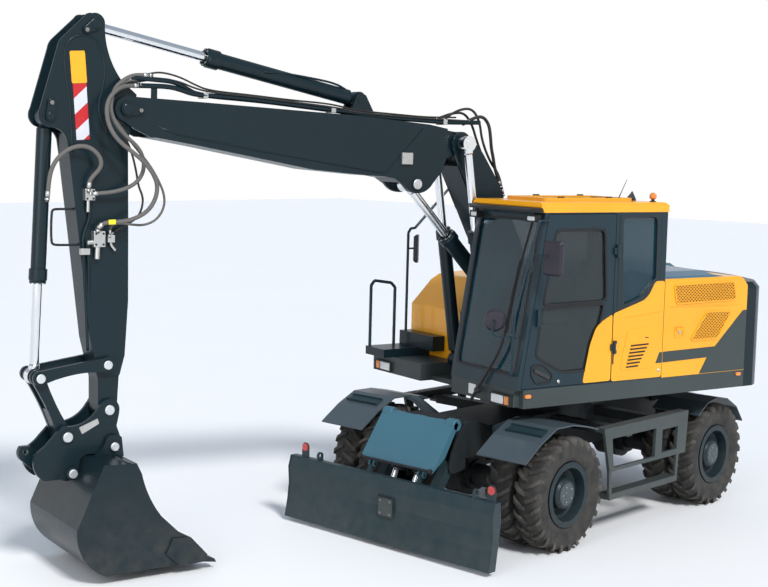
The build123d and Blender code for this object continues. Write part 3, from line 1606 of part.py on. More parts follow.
def pane(plane, points):
    """A sheet of glass a little smaller than the window it sits in."""
    with BuildSketch(plane) as outline:
        with BuildLine():
            Polyline(*points, close=True)
        make_face()
        offset(amount=-GLASS_GAP, mode=Mode.REPLACE)
    extrude(outline.sketch, amount=GLASS_T / 2, both=True)


with BuildPart() as cab_glass:
    pane(side(HALF_W - WALL / 2), QUARTER_WINDOW)
    pane(side(CAB_IN_Y + WALL / 2), RIGHT_WINDOW)
    pane(
        across(CAB_REAR + WALL / 2),
        [
            (CAB_IN_Y + 90, 2440),
            (HALF_W - 90, 2440),
            (HALF_W - 90, 2990),
            (CAB_IN_Y + 90, 2990),
        ],
    )
    # windscreen, parallel to the cab's sloping front
    slab(
        side(CAB_MID_Y),
        [
            (1400 - 22 - 6.7 - 1, 1600 + GLASS_GAP),
            (1400 - 22 - 0.7 - 1, 1600 + GLASS_GAP),
            (1150 - 22 + 11 + 0.7, CAB_TOP - 70 - GLASS_GAP),
            (1150 - 22 + 5 + 0.3, CAB_TOP - 70 - GLASS_GAP),
        ],
        CAB_HALF - 60 - GLASS_GAP,
    )
write(cab_glass, "cab_glass", SWUNG)

with BuildPart() as door_glass:
    pane(side(HALF_W - 20), DOOR_UPPER)
    pane(side(HALF_W - 20), DOOR_LOWER)
write(door_glass, "door_glass", SWUNG)

with BuildPart() as seat:
    floor_z = SKIRT_TOP + WALL + SEAT_GAP
    block(120, 560, 520, 980, floor_z, 1800)
    block(60, 620, 500, 1000, 1790, 1930)
    slab(side(CAB_MID_Y), [(60, 1900), (170, 1920), (60, 2560), (-60, 2560)], 230)
    slab(side(CAB_MID_Y), [(20, 2540), (60, 2560), (30, 2760), (-50, 2760)], 130)
    for hand in (-1, 1):
        block(160, 640, CAB_MID_Y + hand * 330 - 60, CAB_MID_Y + hand * 330 + 60, floor_z, 2080)
write(seat, "seat", SWUNG)

with BuildPart() as steering_column:
    slab(side(CAB_MID_Y), [(1000, floor_z), (1120, floor_z), (1010, 2140), (950, 2140)], 45)
    wheel_plane = Plane(origin=(965, CAB_MID_Y, 2170), x_dir=(0, 1, 0), z_dir=(-0.35, 0, 1))
    with BuildSketch(wheel_plane):
        Circle(190)
        Circle(165, mode=Mode.SUBTRACT)
        Rectangle(360, 34)
    extrude(amount=24)
    with BuildSketch(wheel_plane):
        Circle(50)
    extrude(amount=40, both=True)
write(steering_column, "steering_column", SWUNG)

# Right-hand boxes, steps and rails ahead of the housing
with BuildPart() as right_steps:
    block(832, 1400, -HALF_W + 10, -900, SKIRT_TOP + SEAT_GAP, BOX_TOP)
    block(832, 975, -HALF_W + 10, -640, BOX_TOP - 10, BOX_STEP_TOP)
write(right_steps, "right_steps", SWUNG)

POLE_TOP = 2772
MIRROR_DEEP = 22
# the way the pole's mirror looks, from the pole
POLE_LOOK = (-0.785, 0.62)
RAILS = [
    # points, tube radius, bend radius: the pole with the arm that leans back from its top
    (
        [
            (925, POLE_Y, BOX_STEP_TOP + SEAT_GAP),
            (925, POLE_Y, 2720),
            (895, POLE_Y, 2766),
            (840, POLE_Y, POLE_TOP),
            (470, POLE_Y, 3131),
            (375, POLE_Y, 3223),
        ],
        POLE_R,
        18,
    ),
    # step rail
    (
        [
            (1370, POLE_Y - 10, BOX_TOP + SEAT_GAP),
            (1370, POLE_Y - 10, 2180),
            (1330, POLE_Y - 10, 2230),
            (1120, POLE_Y - 10, 2200),
            (1070, POLE_Y - 10, 2150),
            (1070, POLE_Y - 10, BOX_TOP + SEAT_GAP),
        ],
        RAIL_R,
        30,
    ),
    # grab rail on the cab's front pillar
    (
        [
            (1134, HALF_W + SEAT_GAP, 2996),
            (1134, HALF_W + 34, 2996),
            (1250, HALF_W + 34, 2988),
            (1415, HALF_W - 60, 2130),
            (1432, HALF_W - 70, 1650),
            (1432, HALF_W - 70, 1600),
            (1395.5, HALF_W - 70, 1600),
        ],
        11,
        20,
    ),
    # arms of the rail's mirror, the pillar's round mirror and the pole's mirror
    (
        [
            (1345, HALF_W - 10, 2500),
            (1312, HALF_W + 34, 2545),
            (1308, HALF_W + 38, 2690),
            (1304, HALF_W + 201, 2690),
            (1273, HALF_W + 192.4, 2690),
        ],
        8,
        12,
    ),
    (
        [
            (1338, HALF_W - 60, 1942),
            (1366, HALF_W - 60, 1942),
            (1500, HALF_W - 190, 1936),
            (1548, HALF_W - 204, 1962),
            (1548, HALF_W - 204, 2080),
            (1518.1, HALF_W - 226.4, 2080),
        ],
        8,
        12,
    ),
    (
        [
            (925, POLE_Y, 2558),
            (925 + 30 * POLE_LOOK[0], POLE_Y + 30 * POLE_LOOK[1], 2558),
            (925 + 59.7 * POLE_LOOK[0], POLE_Y + 59.7 * POLE_LOOK[1], 2560),
        ],
        10,
        12,
    ),
]
with BuildPart() as handrails:
    for points, radius, bend in RAILS:
        bar = tube(points, radius, bend)
        add(bar.part)
write(handrails, "handrails", SWUNG)

# Mirrors: shells at the ends of their arms, turned to look back past the cab
MIRRORS = [
    # shell's middle, direction it looks, width, height
    ((1238, HALF_W + 222, 2670), (-0.94, -0.342), 190, 310),
    ((1500, HALF_W - 240, 2080), (-0.8, -0.6), 200, 200),
    (
        (925 + 82.6 * POLE_LOOK[0], POLE_Y + 82.6 * POLE_LOOK[1], 2558),
        POLE_LOOK,
        180,
        290,
    ),
]
with BuildPart() as mirrors:
    for middle, looks, wide, high in MIRRORS:
        with BuildSketch(Plane(origin=middle, x_dir=(looks[1], -looks[0], 0), z_dir=(*looks, 0))) as shell:
            if wide == high:
                Circle(wide / 2)
            else:
                RectangleRounded(wide, high, 30)
        extrude(shell.sketch, amount=MIRROR_DEEP)
        extrude(shell.sketch, amount=-MIRROR_DEEP, taper=40)
write(mirrors, "mirrors", SWUNG)

LAMPS = [
    # back's X, middle's Y and Z, width, height, depth: two in the frame's front, two on the cab
    (1400, 1040, 1362, 280, 105, 40),
    (1290, -1040, 1362, 280, 105, 30),
    (1180, HALF_W - 85, 3005, 130, 64, 72),
    (1180, CAB_IN_Y + 60, 3005, 112, 64, 72),
]
LAMP_RIM = 10
with BuildPart() as lamps:
    for back_x, lamp_y, lamp_z, wide, high, deep in LAMPS:
        y_low, y_high = lamp_y - wide / 2, lamp_y + wide / 2
        z_low, z_high = lamp_z - high / 2, lamp_z + high / 2
        block(back_x + SEAT_GAP, back_x + deep, y_low, y_high, z_low, z_high)
        # the lens lies behind the rim
        block(
            back_x + deep - LAMP_RIM,
            back_x + deep + 1,
            y_low + LAMP_RIM,
            y_high - LAMP_RIM,
            z_low + LAMP_RIM,
            z_high - LAMP_RIM,
            Mode.SUBTRACT,
        )
        # a bracket up to the visor
        if z_high > 2 * SKIRT_TOP:
            block(back_x + 20, back_x + 40, lamp_y - 15, lamp_y + 15, z_high - 4, VISOR_LOW - SEAT_GAP)
write(lamps, "lamps", SWUNG)

# Sun visor along the roof's front edge, its ends swept back
with BuildPart() as visor:
    with BuildSketch(plan(VISOR_LOW)) as outline:
        with BuildLine():
            Polyline(
                (1175, CAB_IN_Y - 6),
                (1262, CAB_IN_Y - 2),
                (1300, CAB_IN_Y + 70),
                (1300, HALF_W - 90),
                (1262, HALF_W + 10),
                (1175, HALF_W + 20),
                close=True,
            )
        make_face()
    extrude(outline.sketch, amount=36)
    # its underside rises to the front and its back follows the roof
    slab(
        side(CAB_MID_Y),
        [(1150, VISOR_LOW - 20), (1176, VISOR_LOW - 20), (1202, VISOR_LOW + 40), (1150, VISOR_LOW + 40)],
        CAB_HALF + 50,
        Mode.SUBTRACT,
    )
    slab(
        side(CAB_MID_Y),
        [(1240, VISOR_LOW + 40), (1320, VISOR_LOW + 12), (1320, VISOR_LOW + 40)],
        CAB_HALF + 50,
        Mode.SUBTRACT,
    )
write(visor, "visor", SWUNG)
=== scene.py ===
"""Looks of a wheeled excavator with a two-piece boom, a front blade and twin tyres.

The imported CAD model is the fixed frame. Each operator below dresses it or adds
pieces that ride on its bodies. Lengths are metres, in the frame of the CAD row.
"""

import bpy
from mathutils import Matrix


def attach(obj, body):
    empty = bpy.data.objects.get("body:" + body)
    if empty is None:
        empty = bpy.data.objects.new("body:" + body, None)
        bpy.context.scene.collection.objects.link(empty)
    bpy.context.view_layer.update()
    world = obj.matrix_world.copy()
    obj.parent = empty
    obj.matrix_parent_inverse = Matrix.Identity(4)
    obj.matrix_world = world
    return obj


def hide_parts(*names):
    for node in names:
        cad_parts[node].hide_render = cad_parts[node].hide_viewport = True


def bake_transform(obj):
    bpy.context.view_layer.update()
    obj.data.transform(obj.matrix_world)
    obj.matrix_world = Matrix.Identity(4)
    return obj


bl_info = {
    "name": "Wheeled excavator looks",
    "version": (1, 0, 0),
    "blender": (4, 5, 0),
    "location": "View3D > Sidebar > Excavator",
    "description": "Paint, tread, hoses, lamps and trim for the wheeled excavator",
    "category": "Add Mesh",
}

from math import cos, pi, radians, sin

import bmesh
import bpy
import numpy as np
from mathutils import Matrix

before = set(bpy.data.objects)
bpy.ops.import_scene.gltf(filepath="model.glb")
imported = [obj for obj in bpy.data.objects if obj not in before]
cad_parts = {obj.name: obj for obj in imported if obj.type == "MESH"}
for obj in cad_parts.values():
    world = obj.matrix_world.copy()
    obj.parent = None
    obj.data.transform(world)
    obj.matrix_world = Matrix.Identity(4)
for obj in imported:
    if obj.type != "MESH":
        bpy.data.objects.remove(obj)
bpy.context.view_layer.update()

# Places that repeat the CAD model's own sizes, in metres
ROW_X, ROW_Y = -1.59, 0.115
SWING = radians(-13.6)
GEAR_Y = -0.08
SIDE_Y = 1.25
ROOF_Z = 3.15
SCREEN_LOW, SCREEN_Z, SCREEN_SLOPE = 1.4, 1.56, 6.0
WHEEL_X, WHEEL_Z, HUB_FACE = 1.3, 0.527, 1.208
TWINS = (1.12, 0.802)

X, Y, Z = (1.0, 0.0, 0.0), (0.0, 1.0, 0.0), (0.0, 0.0, 1.0)
SIDES = (-1, 1)
# How deep a sheet is let into its face, and how far the yellow sheets stand out
SUNK, SKIN = -0.002, 0.006


# Placements: every piece is worked out in a simple frame and moved once
def on_ground(points):
    """From the undercarriage frame: shift by the row's origin."""
    return np.asarray(points, float) + (ROW_X, ROW_Y, 0.0)


def on_upper(points):
    """From the upper structure's frame: turn by the parked swing, then shift."""
    p = np.asarray(points, float)
    c, s = cos(SWING), sin(SWING)
    x = p[..., 0] * c - p[..., 1] * s
    y = p[..., 0] * s + p[..., 1] * c
    return np.stack([x, y, p[..., 2]], -1) + (ROW_X, ROW_Y, 0.0)


def placed(base, origin, across, up, out):
    """A placement: u, v and w run along three directions from an origin, then base()."""
    axes = np.array([across, up, out], float)
    return lambda p: base(np.asarray(p, float) @ axes + origin)


def shifted(place, *by):
    """The same placement from another origin."""
    return placed(place, by, X, Y, Z)


def facing(base, origin):
    """(sideways, height, forward) from a point."""
    return placed(base, origin, Y, Z, X)


# (forward, height, sideways) on the boom's plane
in_gear = placed(on_upper, (0.0, GEAR_Y, 0.0), X, Z, Y)
# (forward, height, outward) on the left face of the upper structure
on_side = placed(on_upper, (0.0, SIDE_Y, 0.0), X, Z, Y)
# (sideways, height, outward) on the windscreen's plane, which leans back 1 in 6
on_screen = placed(
    on_upper,
    (SCREEN_LOW + SCREEN_Z / SCREEN_SLOPE, 0.0, 0.0),
    Y, (-1 / SCREEN_SLOPE, 0.0, 1.0), X,
)
# (forward, sideways, upward) on the cab's roof
on_roof = shifted(on_upper, 0.0, 0.0, ROOF_Z)
# (forward, height, sideways) in the undercarriage's frame
along_ground = placed(on_ground, (0.0, 0.0, 0.0), X, Z, Y)


def around(pin, side):
    """Turned about a pin's axis: (u, v, w) lie w outwards from the pin's end on one side."""
    x, z, half = pin
    return placed(in_gear, (x, z, side * half), X, Y, (0.0, 0.0, side))


# Mesh makers: each returns the corners and the faces
def unit(vectors):
    """Vectors scaled to length one."""
    v = np.asarray(vectors, float)
    return v / np.linalg.norm(v, axis=-1, keepdims=True)


def turns(count):
    """Angles that share a full turn evenly."""
    return np.linspace(0, 2 * pi, count, endpoint=False)


def stacked(x, y, z):
    """Points from three coordinates that are spread to a common shape."""
    return np.stack(np.broadcast_arrays(x, y, z), -1)


def rings(point_rings, closed=False):
    """Skin over closed rings of points, shape (rings, points, 3). Its two ends are capped,
    or its last ring is joined to its first."""
    p = np.asarray(point_rings, float)
    n, m = p.shape[:2]
    i, j = np.meshgrid(np.arange(n if closed else n - 1), np.arange(m), indexing="ij")
    i2, j2 = (i + 1) % n, (j + 1) % m
    quads = np.stack([i * m + j, i2 * m + j, i2 * m + j2, i * m + j2], -1)
    faces = quads.reshape(-1, 4).tolist()
    if not closed:
        faces += [list(range(m))[::-1], list(range((n - 1) * m, n * m))]
    return p.reshape(-1, 3), faces


def join(parts):
    """Several (verts, faces) pairs as one."""
    verts, faces, base = [], [], 0
    for v, f in parts:
        verts.append(v)
        faces += [[k + base for k in face] for face in f]
        base += len(v)
    return np.concatenate(verts), faces


def tube(path, radius, place, sides=10, up=Z):
    """A round bar: at each path point stands a circle of the radius, square to the path's
    direction there, measured from one fixed up direction."""
    p = np.asarray(path, float)
    t = unit(np.gradient(p, axis=0))
    a = np.cross(t, up)
    short = np.linalg.norm(a, axis=1) < 1e-3
    a[short] = np.cross(t[short], Y)
    a = unit(a)
    b = np.cross(t, a)
    w = turns(sides)[None, :, None]
    r = np.broadcast_to(np.asarray(radius, float), (len(p),))
    circle = np.cos(w) * a[:, None] + np.sin(w) * b[:, None]
    return rings(place(p[:, None] + r[:, None, None] * circle))


def smooth_path(points, steps=8):
    """A quadratic B-spline of the points: each stretch blends three neighbours with the
    weights (1-t)^2/2, 1/2+t-t^2 and t^2/2, and the ends are held by doubling them."""
    p = np.asarray(points, float)
    p = np.concatenate([[2 * p[0] - p[1]], p, [2 * p[-1] - p[-2]]])
    t = np.linspace(0, 1, steps, endpoint=False)[None, :, None]
    a, b, c = p[:-2, None], p[1:-1, None], p[2:, None]
    line = (0.5 * (1 - t) ** 2 * a + (0.5 + t - t * t) * b + 0.5 * t * t * c).reshape(-1, 3)
    return np.concatenate([line, [(p[-2] + p[-1]) / 2]])


def level(outline, w, place):
    """A flat outline (u, v) at one w, with place(u, v, w) to 3D."""
    return place(np.insert(np.asarray(outline, float), 2, w, axis=1))


def prism(outline, low, high, place):
    """A flat outline carried from w = low to w = high."""
    return rings([level(outline, low, place), level(outline, high, place)])


def frame_band(outline, inner, low, high, place):
    """A closed band between two outlines with as many points, from low to high."""
    corners = ((outline, low), (outline, high), (inner, high), (inner, low))
    return rings([level(line, w, place) for line, w in corners], True)


def lathe(profile, place, segments=32, closed=False):
    """A profile (r, h) turned about the axis: r cos a, r sin a, h, with place() to 3D. A
    closed profile makes a ring with no ends."""
    r, h = np.asarray(profile, float).T[:, :, None]
    w = turns(segments)
    return rings(place(stacked(r * np.cos(w), r * np.sin(w), h)), closed)


def box(x, y, wide, high):
    """A rectangle's outline about its middle."""
    return np.array([(-1, -1), (1, -1), (1, 1), (-1, 1)]) * (wide / 2, high / 2) + (x, y)


def round_outline(width, height, corner, steps=5):
    """A rounded rectangle about zero: quarter circles of the corner radius."""
    a = np.linspace(0, pi / 2, steps)
    centres = [(1, 1, 0), (-1, 1, pi / 2), (-1, -1, pi), (1, -1, 1.5 * pi)]
    parts = [
        np.stack(
            [
                i * (width / 2 - corner) + corner * np.cos(a + turn),
                j * (height / 2 - corner) + corner * np.sin(a + turn),
            ],
            -1,
        )
        for i, j, turn in centres
    ]
    return np.concatenate(parts)


def rounded(points, radius, steps=4):
    """Corners of a flat outline cut back by the radius along both edges and bridged by a
    quadratic curve: (1-t)^2 a + 2t(1-t) corner + t^2 b."""
    p = np.asarray(points, float)
    before, after = np.roll(p, 1, 0) - p, np.roll(p, -1, 0) - p
    lb, la = np.linalg.norm(before, axis=1), np.linalg.norm(after, axis=1)
    r = np.minimum(radius, 0.45 * np.minimum(lb, la))[:, None]
    a, b = p + before / lb[:, None] * r, p + after / la[:, None] * r
    t = np.linspace(0, 1, steps)[None, :, None]
    arc = (1 - t) ** 2 * a[:, None] + 2 * t * (1 - t) * p[:, None] + t**2 * b[:, None]
    return arc.reshape(-1, 2)


def shrunk(points, by):
    """An outline moved inwards by a distance, along the mean of its two edge normals."""
    p = np.asarray(points, float)
    e1, e2 = p - np.roll(p, 1, 0), np.roll(p, -1, 0) - p
    n1 = np.stack([-e1[:, 1], e1[:, 0]], 1) / np.linalg.norm(e1, axis=1)[:, None]
    n2 = np.stack([-e2[:, 1], e2[:, 0]], 1) / np.linalg.norm(e2, axis=1)[:, None]
    n = n1 + n2
    n /= (np.linalg.norm(n, axis=1) ** 2 / 2)[:, None]
    area = np.sum(p[:, 0] * np.roll(p[:, 1], -1) - np.roll(p[:, 0], -1) * p[:, 1])
    return p + n * by * np.sign(area)


def slat(a, b, thick, low, high, place):
    """A flat bar from a to b, thick across, from low to high outwards."""
    a, b = np.asarray(a, float), np.asarray(b, float)
    d = (b - a) / np.linalg.norm(b - a)
    n = np.array([-d[1], d[0]]) * thick / 2
    return prism([a - n, b - n, b + n, a + n], low, high, place)


def lattice(outline, pitch, bar, slope, low, high, place):
    """Two families of straight bars across an outline, cut at its edges: each bar is a
    line at a whole multiple of the pitch along the family's normal."""
    o = np.asarray(outline, float)
    ahead = np.roll(o, -1, 0)
    parts = []
    for angle in (slope, pi - slope):
        d, n = np.array([cos(angle), sin(angle)]), np.array([-sin(angle), cos(angle)])
        reach = o @ n
        for k in np.arange(np.ceil(reach.min() / pitch), reach.max() / pitch):
            side = reach - k * pitch
            after = np.roll(side, -1)
            cut = (side * after) < 0
            if cut.sum() < 2:
                continue
            t = (side / (side - after + 1e-12))[cut][:, None]
            hits = o[cut] * (1 - t) + ahead[cut] * t
            order = np.argsort(hits @ d)
            a, b = hits[order[0]], hits[order[-1]]
            if np.linalg.norm(b - a) > 3 * bar:
                parts.append(slat(a, b, bar, low, high, place))
    return join(parts)


def capsule(a, radius_a, b, radius_b, steps=9):
    """Outline of two circles and the straight lines that touch both: half a turn round each."""
    a, b = np.asarray(a, float), np.asarray(b, float)
    heading = np.arctan2(*(b - a)[::-1])
    w = np.linspace(-pi / 2, pi / 2, steps)
    near = a + radius_a * np.stack([np.cos(heading + pi + w), np.sin(heading + pi + w)], -1)
    far = b + radius_b * np.stack([np.cos(heading + w), np.sin(heading + w)], -1)
    return np.concatenate([near, far])


def bolt_ring(place, size, height, radius=0.0, count=1):
    """Hexagon bolt heads round a circle, each a short six-sided prism with a narrower top."""
    head = size * np.stack([np.cos(turns(6)), np.sin(turns(6))], -1)
    levels = ((1.0, 0.0), (1.0, 0.8 * height), (0.8, height))
    parts = []
    for turn in turns(count):
        at = (radius * cos(turn), radius * sin(turn))
        parts.append(rings([level(head * share + at, w, place) for share, w in levels]))
    return join(parts)


# Finishes by name, filled in by the first operator
FINISH = {}
# Edges sharper than this are rounded
SHARP = radians(35)


def put(name, shape, finish, body, edge=0.0, segments=2, smooth=False):
    """A mesh piece from one (verts, faces) pair or a list of them, its normals facing out,
    riding on a body. Its hard edges are rounded by the edge width."""
    verts, faces = join(shape) if isinstance(shape, list) else shape
    mesh = bpy.data.meshes.new(name)
    mesh.from_pydata(np.asarray(verts, float).tolist(), [], faces)
    shell = bmesh.new()
    shell.from_mesh(mesh)
    bmesh.ops.recalc_face_normals(shell, faces=shell.faces)
    shell.to_mesh(mesh)
    shell.free()
    piece = bpy.data.objects.new(name, mesh)
    bpy.context.scene.collection.objects.link(piece)
    mesh.materials.append(FINISH[finish])
    if smooth:
        mesh.shade_smooth()
    if body:
        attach(piece, body)
    if edge:
        bevel = piece.modifiers.new("edge", "BEVEL")
        bevel.width, bevel.segments = edge, segments
        bevel.limit_method, bevel.angle_limit = "ANGLE", SHARP
        bevel.harden_normals = False
    return piece


# Shader maths
class Sock:
    """A shader socket or number whose operators add Math nodes."""

    def __init__(self, shader, value):
        self.shader, self.value = shader, value

    def _math(self, operation, *others):
        settings = {"operation": operation}
        return self.shader.node("ShaderNodeMath", settings, self, *others)["Value"]

    def __add__(self, o):
        return self._math("ADD", o)

    def __mul__(self, o):
        return self._math("MULTIPLY", o)

    def __sub__(self, o):
        return self._math("SUBTRACT", o)

    def __rsub__(self, o):
        return Sock(self.shader, o)._math("SUBTRACT", self)

    def __truediv__(self, o):
        return self._math("DIVIDE", o)

    def __gt__(self, o):
        return self._math("GREATER_THAN", o)

    def mod(self, o):
        return self._math("FLOORED_MODULO", o)

    def clip(self):
        return self._math("MINIMUM", 1.0)._math("MAXIMUM", 0.0)

    def sine(self):
        return self._math("SINE")


class Shader:
    """One material, or the world, and the few ways its nodes are made. A material starts
    with the Object coordinates: at, and x, y and z apart. Colours are three numbers."""

    def __init__(self, name, world=None):
        self.material = world or bpy.data.materials.new(name)
        self.material.use_nodes = True
        self.tree = self.material.node_tree
        self.base = self.tree.nodes["Background" if world else "Principled BSDF"]
        if not world:
            self.at = self.node("ShaderNodeTexCoord")["Object"]
            apart = self.node("ShaderNodeSeparateXYZ", None, self.at)
            self.x, self.y, self.z = (apart[axis] for axis in "XYZ")

    def node(self, kind, settings=None, *values, **named):
        """Add a node: its settings first, then values or links of its sockets."""
        made = self.tree.nodes.new(kind)
        for key, value in (settings or {}).items():
            if key == "stops":
                ramp = made.color_ramp
                for k, (place, colour) in enumerate(value):
                    stop = ramp.elements[k] if k < 2 else ramp.elements.new(place)
                    stop.position, stop.color = place, (*colour, 1.0)
            else:
                setattr(made, key, value)
        enabled = [i for i in made.inputs if i.enabled]
        sockets = list(zip(enabled, values))
        names = {i.name: i for i in reversed(enabled)}
        sockets += [(names[k.replace("_", " ")], v) for k, v in named.items()]
        for socket, value in sockets:
            self.feed(socket, value)
        return {out.name: Sock(self, out) for out in made.outputs if out.enabled}

    def feed(self, socket, value):
        """Link a socket or set its value."""
        value = value.value if isinstance(value, Sock) else value
        if isinstance(value, bpy.types.NodeSocket):
            self.tree.links.new(value, socket)
        else:
            socket.default_value = (*value, 1.0) if isinstance(value, tuple) else value

    def noise(self, scale, detail=4.0, rough=0.55):
        """Fractal noise about 0.5."""
        named = {"Vector": self.at, "Scale": scale, "Detail": detail, "Roughness": rough}
        return self.node("ShaderNodeTexNoise", None, **named)["Fac"]

    def blend(self, amount, low, high):
        """Mix two colours."""
        kind = {"data_type": "RGBA"}
        return self.node("ShaderNodeMix", kind, Factor=amount, A=low, B=high)["Result"]

    def bump(self, height, distance, strength):
        """A Bump node's normal."""
        named = {"Strength": strength, "Distance": distance, "Height": height}
        return self.node("ShaderNodeBump", None, **named)["Normal"]

    def finish(self, **named):
        """Set or link the surface's sockets."""
        for key, value in named.items():
            self.feed(self.base.inputs[key.replace("_", " ")], value)
        return self.material


# Materials
ROAD_DUST, DUST_LOW = (0.2, 0.17, 0.13), 0.15
# Radians in a metre: a wave every 7 mm
FINE_WAVE = 900.0


def shade(colour, factor, lift=0.0):
    """A colour made darker or lighter."""
    return tuple(min(1.0, factor * c + lift) for c in colour)


def dusted(s, colour, high):
    """Mix dust into a colour, more of it lower down: the share falls from one near the
    ground to nothing at the height high, broken up by noise."""
    patches = s.noise(7.0, 6.0, 0.62)
    share = ((high - s.z) / (high - DUST_LOW)).clip() * (patches * 1.4 - 0.35).clip()
    return s.blend(share * 0.22, colour, ROAD_DUST)


def paint(name, colour, rough, dust_top, coat, gloss=0.2):
    """Sprayed enamel: faint cloudiness, orange peel, fine scratches and road dust low down."""
    s = Shader(name)
    cloud = s.noise(2.3, 3.0)
    fine = s.noise(55.0, 5.0, 0.6)
    base = s.blend(cloud, shade(colour, 0.9), shade(colour, 1.08))
    base = dusted(s, base, dust_top)
    peel = s.noise(420.0, 2.0)
    return s.finish(
        Base_Color=base,
        Roughness=(fine * 0.22 + (rough - 0.1)).clip(),
        Coat_Weight=coat,
        Coat_Roughness=0.12,
        Specular_IOR_Level=gloss,
        Normal=s.bump(peel, 0.0006, 0.25),
    )


def rubber(name, colour, dust):
    """Tyre rubber: matt, greyed by dust in its hollows, with a fine grain. On the tread the
    lighter colour and grey are partly painted sunlight.
    """
    s = Shader(name)
    patch = s.noise(9.0, 6.0, 0.65)
    grain = s.noise(260.0, 3.0)
    base = s.blend((patch * 1.6 - 0.55).clip() * dust, colour, (0.17, 0.15, 0.125))
    return s.finish(
        Base_Color=base,
        Roughness=(grain * 0.2 + 0.68).clip(),
        Normal=s.bump(grain + patch * 2.0, 0.0012, 0.5),
    )


def chrome(name):
    """Ground and plated rod: bright, faintly mottled."""
    s = Shader(name)
    fine = s.noise(300.0, 2.0)
    return s.finish(
        Base_Color=s.blend(fine, (0.72, 0.74, 0.76), (0.86, 0.87, 0.88)),
        Metallic=1.0,
        Roughness=(fine * 0.1 + 0.08).clip(),
    )


def metal(name, colour, rough):
    """Zinc-plated or bare steel with a blotchy sheen."""
    s = Shader(name)
    blot = s.noise(38.0, 5.0, 0.7)
    return s.finish(
        Base_Color=s.blend(blot, shade(colour, 0.7), colour),
        Metallic=0.9,
        Roughness=(blot * 0.3 + (rough - 0.15)).clip(),
        Normal=s.bump(blot, 0.001, 0.2),
    )


def plastic(name, colour, rough):
    """Moulded plastic or textured black paint with a fine leather grain."""
    s = Shader(name)
    grain = s.noise(600.0, 3.0)
    wide = s.noise(5.0, 3.0)
    return s.finish(
        Base_Color=s.blend(wide, colour, shade(colour, 1.5, 0.004)),
        Roughness=(grain * 0.15 + (rough - 0.07)).clip(),
        Specular_IOR_Level=0.25,
        Normal=s.bump(grain, 0.0008, 0.3),
    )


def cloth(name, colour):
    """Seat cloth: a weave of two crossed sine waves."""
    s = Shader(name)
    weave = (s.x * FINE_WAVE).sine() * (s.z * FINE_WAVE + s.y * FINE_WAVE).sine()
    cloud = s.noise(14.0)
    return s.finish(
        Base_Color=s.blend((weave * 0.25 + cloud).clip(), colour, shade(colour, 1.7)),
        Roughness=0.9,
        Normal=s.bump(weave, 0.0008, 0.6),
    )


def glazing(name, colour, alpha):
    """Tinted cab glass with a faint haze. The cab windows' blue-teal colour is a painted
    reflection of the sky.
    """
    s = Shader(name)
    haze = s.noise(6.0, 6.0, 0.6)
    return s.finish(
        Base_Color=s.blend(haze, colour, shade(colour, 1.4)),
        Roughness=0.04,
        Coat_Weight=0.3,
        Alpha=(haze * 0.12 + (alpha - 0.06)).clip(),
        Specular_IOR_Level=0.45,
    )


def lens(name, colour):
    """A lamp's ribbed lens: fine ridges across a clear or coloured plastic."""
    s = Shader(name)
    ridge = ((s.x + s.y) * FINE_WAVE).sine()
    speck = s.noise(60.0, 3.0)
    return s.finish(
        Base_Color=s.blend(speck, shade(colour, 0.75), colour),
        Roughness=0.15,
        Coat_Weight=1.0,
        Normal=s.bump(ridge, 0.0015, 0.5),
    )


def striped(name, first, second, pitch, slope):
    """Slanting warning stripes: the height plus slope times the forward place, cut
    into bands of the pitch."""
    s = Shader(name)
    band = ((s.z + s.x * slope) / pitch).mod(1.0) > 0.5
    wear = s.noise(30.0, 5.0)
    colour = s.blend(band, first, second)
    return s.finish(
        Base_Color=s.blend((wear * 2.0 - 1.15).clip() * 0.4, colour, (0.3, 0.28, 0.25)),
        Roughness=0.35,
    )


def floor_finish(name):
    """Plain pale floor."""
    s = Shader(name)
    cloud = s.noise(0.4, 2.0)
    return s.finish(
        Base_Color=s.blend(cloud, (0.86, 0.86, 0.86), (0.88, 0.88, 0.88)), Roughness=0.75
    )


